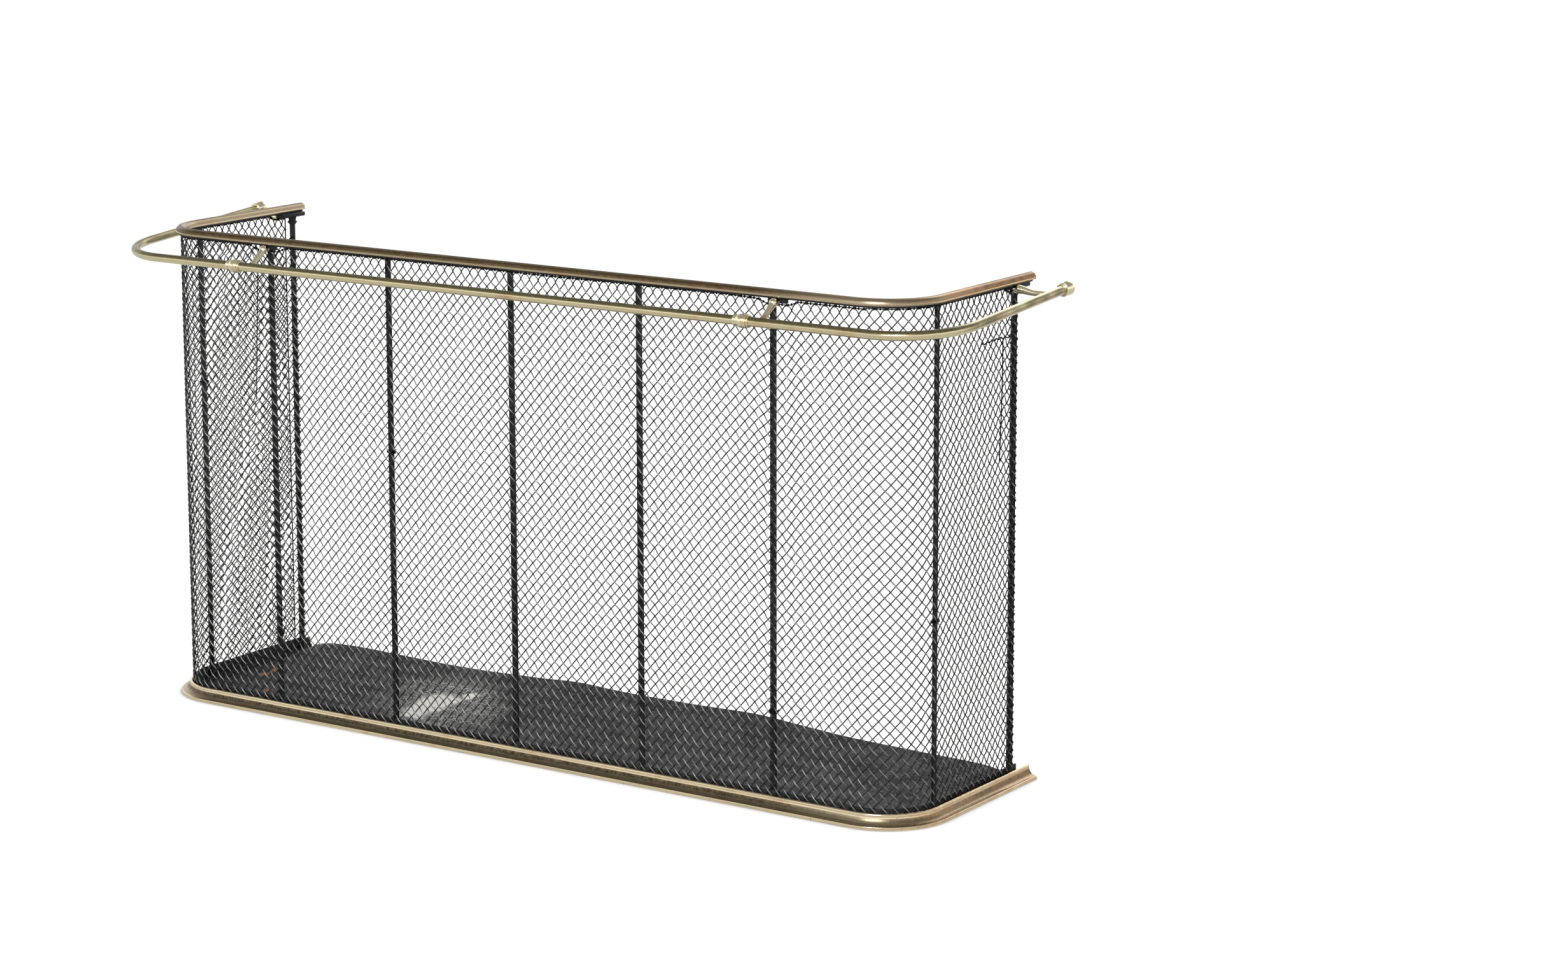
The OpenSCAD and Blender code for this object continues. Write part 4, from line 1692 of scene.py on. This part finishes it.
@dataclass
class WovenGuard(Assembly):
    """The woven wire: straight wires one way, crimped ones the other, and the wires at its edges."""

    wire_r: float = 0.00077
    cell_w: float = 0.0138
    cell_h: float = 0.0147
    selvedge_r: float = 0.0009
    falling_crimp: float = 0.0009
    rising_crimp: float = 0.0005
    loop_places: tuple[float, ...] = (0.0, 0.16, 0.5)
    dip_run: float = 0.022
    sag: float = 0.25  # shares of the way from the strap down to the blocks
    slack: float = 0.09
    sag_start: float = 0.33
    sag_run: float = 0.05
    stay_pitch: float = 0.203
    belly: float = 0.0012
    stray: float = 0.00045
    post_r: float = 0.004

    def __post_init__(self) -> None:
        """Fits whole diamonds to the guard."""
        self.course = Course(self.guard, self.guard.mesh_rear)
        self.columns = round(self.course.length / self.cell_w)
        self.rows = round((self.guard.mesh_top - self.guard.mesh_foot) / self.cell_h)
        self.step_w = self.course.length / self.columns / 2
        self.step_h = (self.guard.mesh_top - self.guard.mesh_foot) / self.rows / 2
        self.blocks = [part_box(side.of(place)) for place in ("front_block", "rear_block") for side in Side]
        self.selvedge_low = (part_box("top_selvedge")[0].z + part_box("top_selvedge")[1].z) / 2
        self.selvedge_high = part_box("top_strap")[0].z - self.selvedge_r

    def crest(self, along: float) -> float:
        """Gives the height of the top selvedge: up under the strap, and down under each block.

        Args:
            along: Way round.

        Returns:
            The height of its middle.
        """
        p = self.course.at(min(max(along, 0.0), self.course.length), 0, 0)
        dip = 0.0
        for lo, hi in self.blocks:
            away = max(lo.x - p.x, p.x - hi.x, lo.y - p.y, p.y - hi.y, 0.0)
            dip = max(dip, 1 - min(1.0, away / self.dip_run))
        dip = eased(dip)
        at_front = p.y < self.guard.front_y + 0.001
        sag = self.sag * held((p.x - self.sag_start) / self.sag_run) if at_front else 0.0
        slack = self.slack * (1 + waver(p, 0.09, 2.4))
        share = max(dip, sag, slack)
        return self.selvedge_high + (self.selvedge_low - self.selvedge_high) * min(1.0, share)

    def bulge(self, along: float, z: float) -> float:
        """Gives how far the mesh has bellied outwards.

        Args:
            along: Way round.
            z: Height.

        Returns:
            The offset, none at the edges.
        """
        across = math.sin(math.pi * (along - self.course.length / 2) / self.stay_pitch) ** 2
        up = math.sin(math.pi * (z - self.guard.mesh_foot) / (self.guard.mesh_top - self.guard.mesh_foot))
        return self.belly * across * max(0.0, up) * (1 + waver(Vector((along, 0, z)), 0.2, 1.3))

    def knot(self, along: float, z: float, u: float) -> Vector:
        """Places a point of a wire, with the weave's small irregularities.

        Args:
            along: Way round.
            z: Height.
            u: Offset of the wire in the weave.

        Returns:
            The point.
        """
        p = Vector((along, 0.0, z))
        off = self.stray * held((self.guard.mesh_top - z) / 0.03)
        moved = min(max(along + off * waver(p, 0.05, 4.0), 0.0), self.course.length)
        foot = self.guard.mesh_foot
        drawn_up = (self.crest(along) - self.selvedge_r - foot) / (self.guard.mesh_top - foot)
        height = foot + (z - foot) * drawn_up
        return self.course.at(moved, u + self.bulge(along, z), height + off * waver(p, 0.05, 9.0))

    def wire(self, lay: Lay, index: int) -> list[Vector]:
        """Draws one wire from the foot, or a rear edge, to the top or the other edge.

        Args:
            lay: The way that it leans.
            index: Where it stands along the foot.

        Returns:
            Its points.
        """
        last = 2 * self.rows
        ends = 2 * self.columns
        points: list[Vector] = []
        crimp = self.falling_crimp if lay is Lay.FALLING else -self.rising_crimp
        parts = 2 if lay is Lay.RISING else 3
        for m in range(last):
            i = 2 * index + lay.value * m
            j = i + lay.value
            if min(i, j) < 0 or max(i, j) > ends:
                if points:
                    break
                continue
            top = m == last - 1
            count = 6 if top else parts
            for k in range(count):
                t = k / count
                z = self.guard.mesh_foot + (m + t) * self.step_h
                if top:
                    z = self.guard.mesh_foot + (m + 1 - (1 - t) ** 2.6) * self.step_h
                u = crimp * math.cos(math.pi * (m + t)) * (0.6 if top else 1.0)
                points.append(self.knot((i + lay.value * t) * self.step_w, z, u))
            tail = (j, m + 1)
        if points:
            j, m = tail
            points.append(self.knot(j * self.step_w, self.guard.mesh_foot + m * self.step_h, 0.0))
        return points

    def build(self) -> None:
        """Builds the woven guard."""
        nodes = ["mesh_front", "mesh_corner_left", "mesh_corner_right", "mesh_left", "mesh_right"]
        rising = [self.wire(Lay.RISING, i) for i in range(-self.rows, self.columns)]
        falling = [self.wire(Lay.FALLING, i) for i in range(1, self.columns + self.rows + 1)]
        for name, lines, finish, groups in (
            ("woven_straight", rising, self.finishes.straight_wire, 2),
            ("woven_crimped", falling, self.finishes.crimped_wire, 4),
        ):
            lines = [line for line in lines if len(line) > 1]
            total = sum(len(line) for line in lines)
            batch: list[list[Vector]] = []
            part = 1
            drawn = 0
            for line in lines:
                batch.append(line)
                drawn += len(line)
                if drawn >= total * part / groups or line is lines[-1]:
                    self.piece(f"{name}_{part}", batch, finish, nodes)
                    batch = []
                    part += 1
        self.build_edges()

    def piece(self, name: str, lines: list[list[Vector]], finish: Material, nodes: list[str]) -> None:
        """Makes one batch of wires a piece, with the outer crimp tops marked for the painted highlight.

        Args:
            name: The piece's name.
            lines: Its wires.
            finish: Its finish.
            nodes: The nodes it stands for.
        """
        mesh = wires(even(lines, self.wire_r), 6)
        under = 0.12 * self.falling_crimp
        # the outer crimp tops carry the finish's painted highlight
        mark(mesh, "crown", lambda p: (self.course.offset_of(p) + under) / (4 * under))
        finish_piece(name, mesh, finish, Slot.MESH, nodes, sharp=180)

    def build_edges(self) -> None:
        """Builds the selvedge wires and the loops that bind the weave to them."""
        per_cell = 8
        count = per_cell * self.columns
        line = []
        radii = []
        for i in range(count + 1):
            along = self.course.length * i / count
            line.append(self.course.at(along, 0, self.crest(along)))
            radii.append(self.selvedge_r * (0.86 + 0.14 * math.cos(math.tau * i / per_cell)))
        self.wire_piece("top_edge_wire", wires([(line, radii)], 8), "top_selvedge")
        lo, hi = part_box("rear_selvedges")
        y = (lo.y + hi.y) / 2
        steps = 80
        heights = [lo.z + (hi.z - lo.z) * i / steps for i in range(steps + 1)]
        lines = [[Vector((side.value * self.guard.half_w, y, z)) for z in heights] for side in Side]
        self.wire_piece("rear_edge_wires", wires(even(lines, self.selvedge_r), 8), "rear_selvedges")
        loops = []
        for i in range(self.columns):
            for share in self.loop_places:
                along = 2 * (i + share) * self.step_w
                ahead = along + 0.001
                at = self.course.at(along, 0, self.crest(along))
                tilt = 0.0004 * waver(at, 0.01, 3.0)
                loops.append(self.loop(at, self.course.at(ahead, tilt, self.crest(ahead))))
        for side in Side:
            x = side.value * self.guard.half_w
            for k in range(2, self.rows):
                at = Vector((x, y, self.guard.mesh_foot + 2 * k * self.step_h))
                loops.append(self.loop(at, at + Vector((0, 0, 0.001))))
        self.wire_piece("edge_loops", merged(loops))
        laces = wires(even([self.lacing(side) for side in Side], self.wire_r), 6)
        self.wire_piece("post_lacing", laces)

    def lacing(self, side: Side) -> list[Vector]:
        """Winds an uneven wire round a rear post.

        Args:
            side: Which post.

        Returns:
            Its points.
        """
        lo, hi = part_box(side.of("rear_post"))
        mid_x, mid_y = (lo.x + hi.x) / 2, (lo.y + hi.y) / 2
        steps = 14
        turns = round(1.4 * self.rows)
        rise = (self.guard.mesh_top - self.guard.mesh_foot - 0.04) / turns / steps
        line = []
        for i in range(turns * steps + 1):
            z = self.guard.mesh_foot + 0.015 + rise * i
            level = Vector((0, 0, z))
            turn = math.tau * i / steps + 1.5 * waver(level, 0.03, 5.0 * side.value)
            r = self.post_r + 0.8 * self.wire_r + 0.0003 * (1 + waver(level, 0.011, 7.0 * side.value))
            line.append(Vector((mid_x + r * math.cos(turn), mid_y + r * math.sin(turn), z)))
        return line

    def loop(self, at: Vector, ahead: Vector) -> BMesh:
        """Makes one small loop of wire round a selvedge.

        Args:
            at: Its middle.
            ahead: A point further along the selvedge.

        Returns:
            The ring.
        """
        way = ahead - at
        if way.length < MERGE:
            way = Vector((0, 1, 0))
        bm = bmesh.new()
        loop_r = 0.8 * self.wire_r
        ring = bmesh.ops.create_circle(bm, segments=5, radius=loop_r)["verts"]
        bmesh.ops.rotate(bm, verts=ring, cent=(0, 0, 0), matrix=Matrix.Rotation(math.pi / 2, 3, "X"))
        bmesh.ops.translate(bm, verts=ring, vec=(self.selvedge_r + loop_r * 0.8, 0, 0))
        return placed(spun(bm, 8), facing(at, way))


@dataclass
class Repairs(Assembly):
    """Thin wires that bind the mesh to the stays, and loose ends of old mends."""

    wire_r: float = 0.0009
    tie_places: tuple[tuple[str, float], ...] = (
        ("front_stay_1", 0.111),
        ("front_stay_2", 0.386),
        ("front_stay_5", 0.122),
        ("corner_stay_left", 0.430),
        ("corner_stay_right", 0.250),
    )

    def build(self) -> None:
        """Builds the ties and the loose wires."""
        lines = [self.tie(name, z) for name, z in self.tie_places]
        lines += [self.left_mend(), self.right_mend(), self.right_strand()]
        body = wires(even(lines, self.wire_r), 6)
        self.wire_piece("tie_and_mending_wires", body)

    def tie(self, name: str, z: float) -> list[Vector]:
        """Winds a tie twice round a stay and the mesh, with one end left sticking out.

        Args:
            name: The stay.
            z: Height of the tie.

        Returns:
            Its points.
        """
        lo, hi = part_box(name)
        mid = (lo + hi) / 2
        half = (hi - lo) / 2 + Vector((1, 1, 0)) * (self.wire_r + 0.0004)
        line = []
        turns = 2
        steps = 12
        for i in range(turns * steps + 1):
            t = math.tau * i / steps
            x = mid.x + 1.1 * half.x * math.cos(t)
            y = mid.y + 1.6 * half.y * math.sin(t)
            line.append(Vector((x, y, z + 0.0016 * i / steps)))
        line.append(line[-1] + Vector((0.004, -0.003, 0.003)))
        return line

    @staticmethod
    def strand(
        start: Vector, end: Vector, steps: int, sway: Callable[[Vector, float], Vector]
    ) -> list[Vector]:
        """Draws a loose wire."""
        line = [start.lerp(end, i / steps) for i in range(steps + 1)]
        return [p + sway(p, i / steps) for i, p in enumerate(line)]

    def left_mend(self) -> list[Vector]:
        """Draws the long loose wire inside the left side, which hangs almost straight down.

        Returns:
            Its points.
        """
        x = -self.guard.half_w + 0.0028
        return self.strand(
            Vector((x, 0.071, 0.567)),
            Vector((x, 0.062, 0.389)),
            24,
            lambda p, t: Vector((0, 0.0012 * waver(p, 0.04, 6.0), 0)),
        )

    def right_mend(self) -> list[Vector]:
        """Draws the twisted wire across the right side, up to the post.

        Returns:
            Its points.
        """
        x = self.guard.half_w + 0.0022

        def twist(_: Vector, t: float) -> Vector:
            """Winds it seven times round, and bows it.

            Args:
                _: The place, which the twist doesn't heed.
                t: Share of the way along the wire.

            Returns:
                The move sideways and up.
            """
            turn = 7 * math.tau * t
            bow = 0.002 * math.sin(math.pi * t)
            return Vector((0.0006 * math.cos(turn), 0, 0.0012 * math.sin(turn) + bow))

        return self.strand(Vector((x, 0.045, 0.584)), Vector((x, 0.124, 0.584)), 60, twist)

    def right_strand(self) -> list[Vector]:
        """Draws the loose wire that hangs from the twisted one.

        Returns:
            Its points.
        """
        x = self.guard.half_w + 0.0024
        return self.strand(
            Vector((x, 0.098, 0.586)),
            Vector((x, 0.092, 0.430)),
            24,
            lambda _, t: Vector((0, 0.0015 * math.sin(math.pi * t), 0)),
        )


# ---- Studio ----


@dataclass
class Studio:
    """White floor, soft light and the camera at the photograph's viewing angle."""

    lens: float = 84.94
    shift_y: float = -0.07
    eye: tuple[float, float, float] = (2.8887, -3.8482, 1.3548)
    yaw: float = 33.49
    pitch: float = 10.08
    floor_half: float = 30.0
    shadow_reach: float = 0.045
    shadow_start: float = 0.52
    shadow_level: float = 0.2
    lit_level: float = 0.93
    mirrored_level: float = 0.72
    wall_level: float = 1.35
    sensor_width: float = 36.0

    def build(self) -> None:
        """Builds the studio."""
        self.build_floor()
        self.build_world()
        self.build_lamps()
        self.build_camera()

    def build_floor(self) -> None:
        """Lays the white floor, which takes the fender's shadow, with a painted contact shadow where its glow
        dims near the fender.
        """
        bm = bmesh.new()
        bmesh.ops.create_grid(bm, x_segments=1, y_segments=1, size=self.floor_half)
        mesh = bpy.data.meshes.new("studio_floor")
        bm.to_mesh(mesh)
        bm.free()
        floor = bpy.data.objects.new("studio_floor", mesh)
        bpy.context.collection.objects.link(floor)
        mat = bpy.data.materials.new("studio_white")
        mat.use_nodes = True
        n = Nodes(mat.node_tree)
        mat.node_tree.nodes.clear()
        plain = n.add("ShaderNodeBsdfDiffuse")
        plain.inputs["Color"].default_value = (0.8, 0.8, 0.8, 1)
        shade = n.add("ShaderNodeBsdfDiffuse")
        shade.inputs["Color"].default_value = (0.25, 0.25, 0.25, 1)
        glow = n.add("ShaderNodeEmission")
        # ambient occlusion dims the floor's glow near the fender: a painted contact shadow
        near = n.add("ShaderNodeAmbientOcclusion", samples=8)
        near.inputs["Distance"].default_value = self.shadow_reach
        glow_with_painted_shadow = n.ramp(near.outputs["AO"], self.shadow_start, 1.0, self.shadow_level, self.lit_level)
        n.join(glow_with_painted_shadow, glow.inputs["Strength"])
        both = n.add("ShaderNodeAddShader")
        n.join(shade.outputs[0], both.inputs[0])
        n.join(glow.outputs[0], both.inputs[1])
        path = n.add("ShaderNodeLightPath")
        dim = n.add("ShaderNodeEmission")
        dim.inputs["Strength"].default_value = self.mirrored_level
        mirrored = n.maths("MAXIMUM", path.outputs["Is Glossy Ray"], path.outputs["Is Transmission Ray"])
        reflected = n.add("ShaderNodeMixShader")
        n.join(mirrored, reflected.inputs[0])
        n.join(plain.outputs[0], reflected.inputs[1])
        n.join(dim.outputs[0], reflected.inputs[2])
        pick = n.add("ShaderNodeMixShader")
        n.join(path.outputs["Is Camera Ray"], pick.inputs[0])
        n.join(reflected.outputs[0], pick.inputs[1])
        n.join(both.outputs[0], pick.inputs[2])
        out = n.add("ShaderNodeOutputMaterial")
        n.join(pick.outputs[0], out.inputs["Surface"])
        mesh.materials.append(mat)

    def build_world(self) -> None:
        """Makes the studio's walls white and its ceiling dark."""
        world = bpy.data.worlds.new("studio")
        bpy.context.scene.world = world
        world.use_nodes = True
        n = Nodes(world.node_tree)
        back = world.node_tree.nodes["Background"]
        where = n.add("ShaderNodeTexCoord").outputs["Generated"]
        split = n.add("ShaderNodeSeparateXYZ")
        n.join(where, split.inputs[0])
        ramp = n.add("ShaderNodeValToRGB")
        stops = ramp.color_ramp.elements
        stops[0].position = 0.0
        stops[0].color = (0.75, 0.75, 0.75, 1)
        stops[1].position = 0.58
        stops[1].color = (0.30, 0.30, 0.30, 1)
        for position in (0.14, 0.34):
            stops.new(position).color = (1, 1, 1, 1)
        n.join(split.outputs["Z"], ramp.inputs["Fac"])
        n.join(ramp.outputs["Color"], back.inputs["Color"])
        back.inputs["Strength"].default_value = self.wall_level

    def build_lamps(self) -> None:
        """Hangs the soft lamps."""
        for name, place, size, watts in (
            ("key_lamp", (1.0, -4.0, 2.6), 1.6, 130.0),
            ("back_lamp", (0.0, 4.0, 3.6), 2.6, 40.0),
        ):
            lamp = bpy.data.lights.new(name, "AREA")
            lamp.shape = "SQUARE"
            lamp.size = size
            lamp.energy = watts
            obj = bpy.data.objects.new(name, lamp)
            bpy.context.collection.objects.link(obj)
            obj.location = place
            aim = Vector((0, 0, 0.3)) - Vector(place)
            obj.rotation_euler = aim.to_track_quat("-Z", "Y").to_euler()

    def build_camera(self) -> None:
        """Stands the camera where the photograph was taken from."""
        camera = bpy.data.cameras.new("camera")
        camera.lens = self.lens
        camera.sensor_width = self.sensor_width
        camera.sensor_fit = "HORIZONTAL"
        camera.shift_y = self.shift_y
        obj = bpy.data.objects.new("camera", camera)
        bpy.context.collection.objects.link(obj)
        obj.location = self.eye
        obj.rotation_euler = (math.radians(90 - self.pitch), 0, math.radians(self.yaw))
        bpy.context.scene.camera = obj


def plain(corners: Sequence[Vector]) -> list[list[float]]:
    """Turns a box's corners into plain lists of numbers."""
    return [[float(c) for c in corner] for corner in corners]


def main() -> None:
    """Builds the fender and its studio."""
    logging.basicConfig(level=logging.INFO, format="%(message)s")
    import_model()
    guard = GuardFrame.read()
    finishes = Finishes.build()
    for kind in (Kerb, HearthFloor, BaseIron, Uprights, CapAndStrap, OuterRail, WovenGuard, Repairs):
        kind(guard, finishes).build()
    Studio().build()
    bpy.context.scene.view_settings.view_transform = "Standard"


if __name__ == "__main__":
    main()
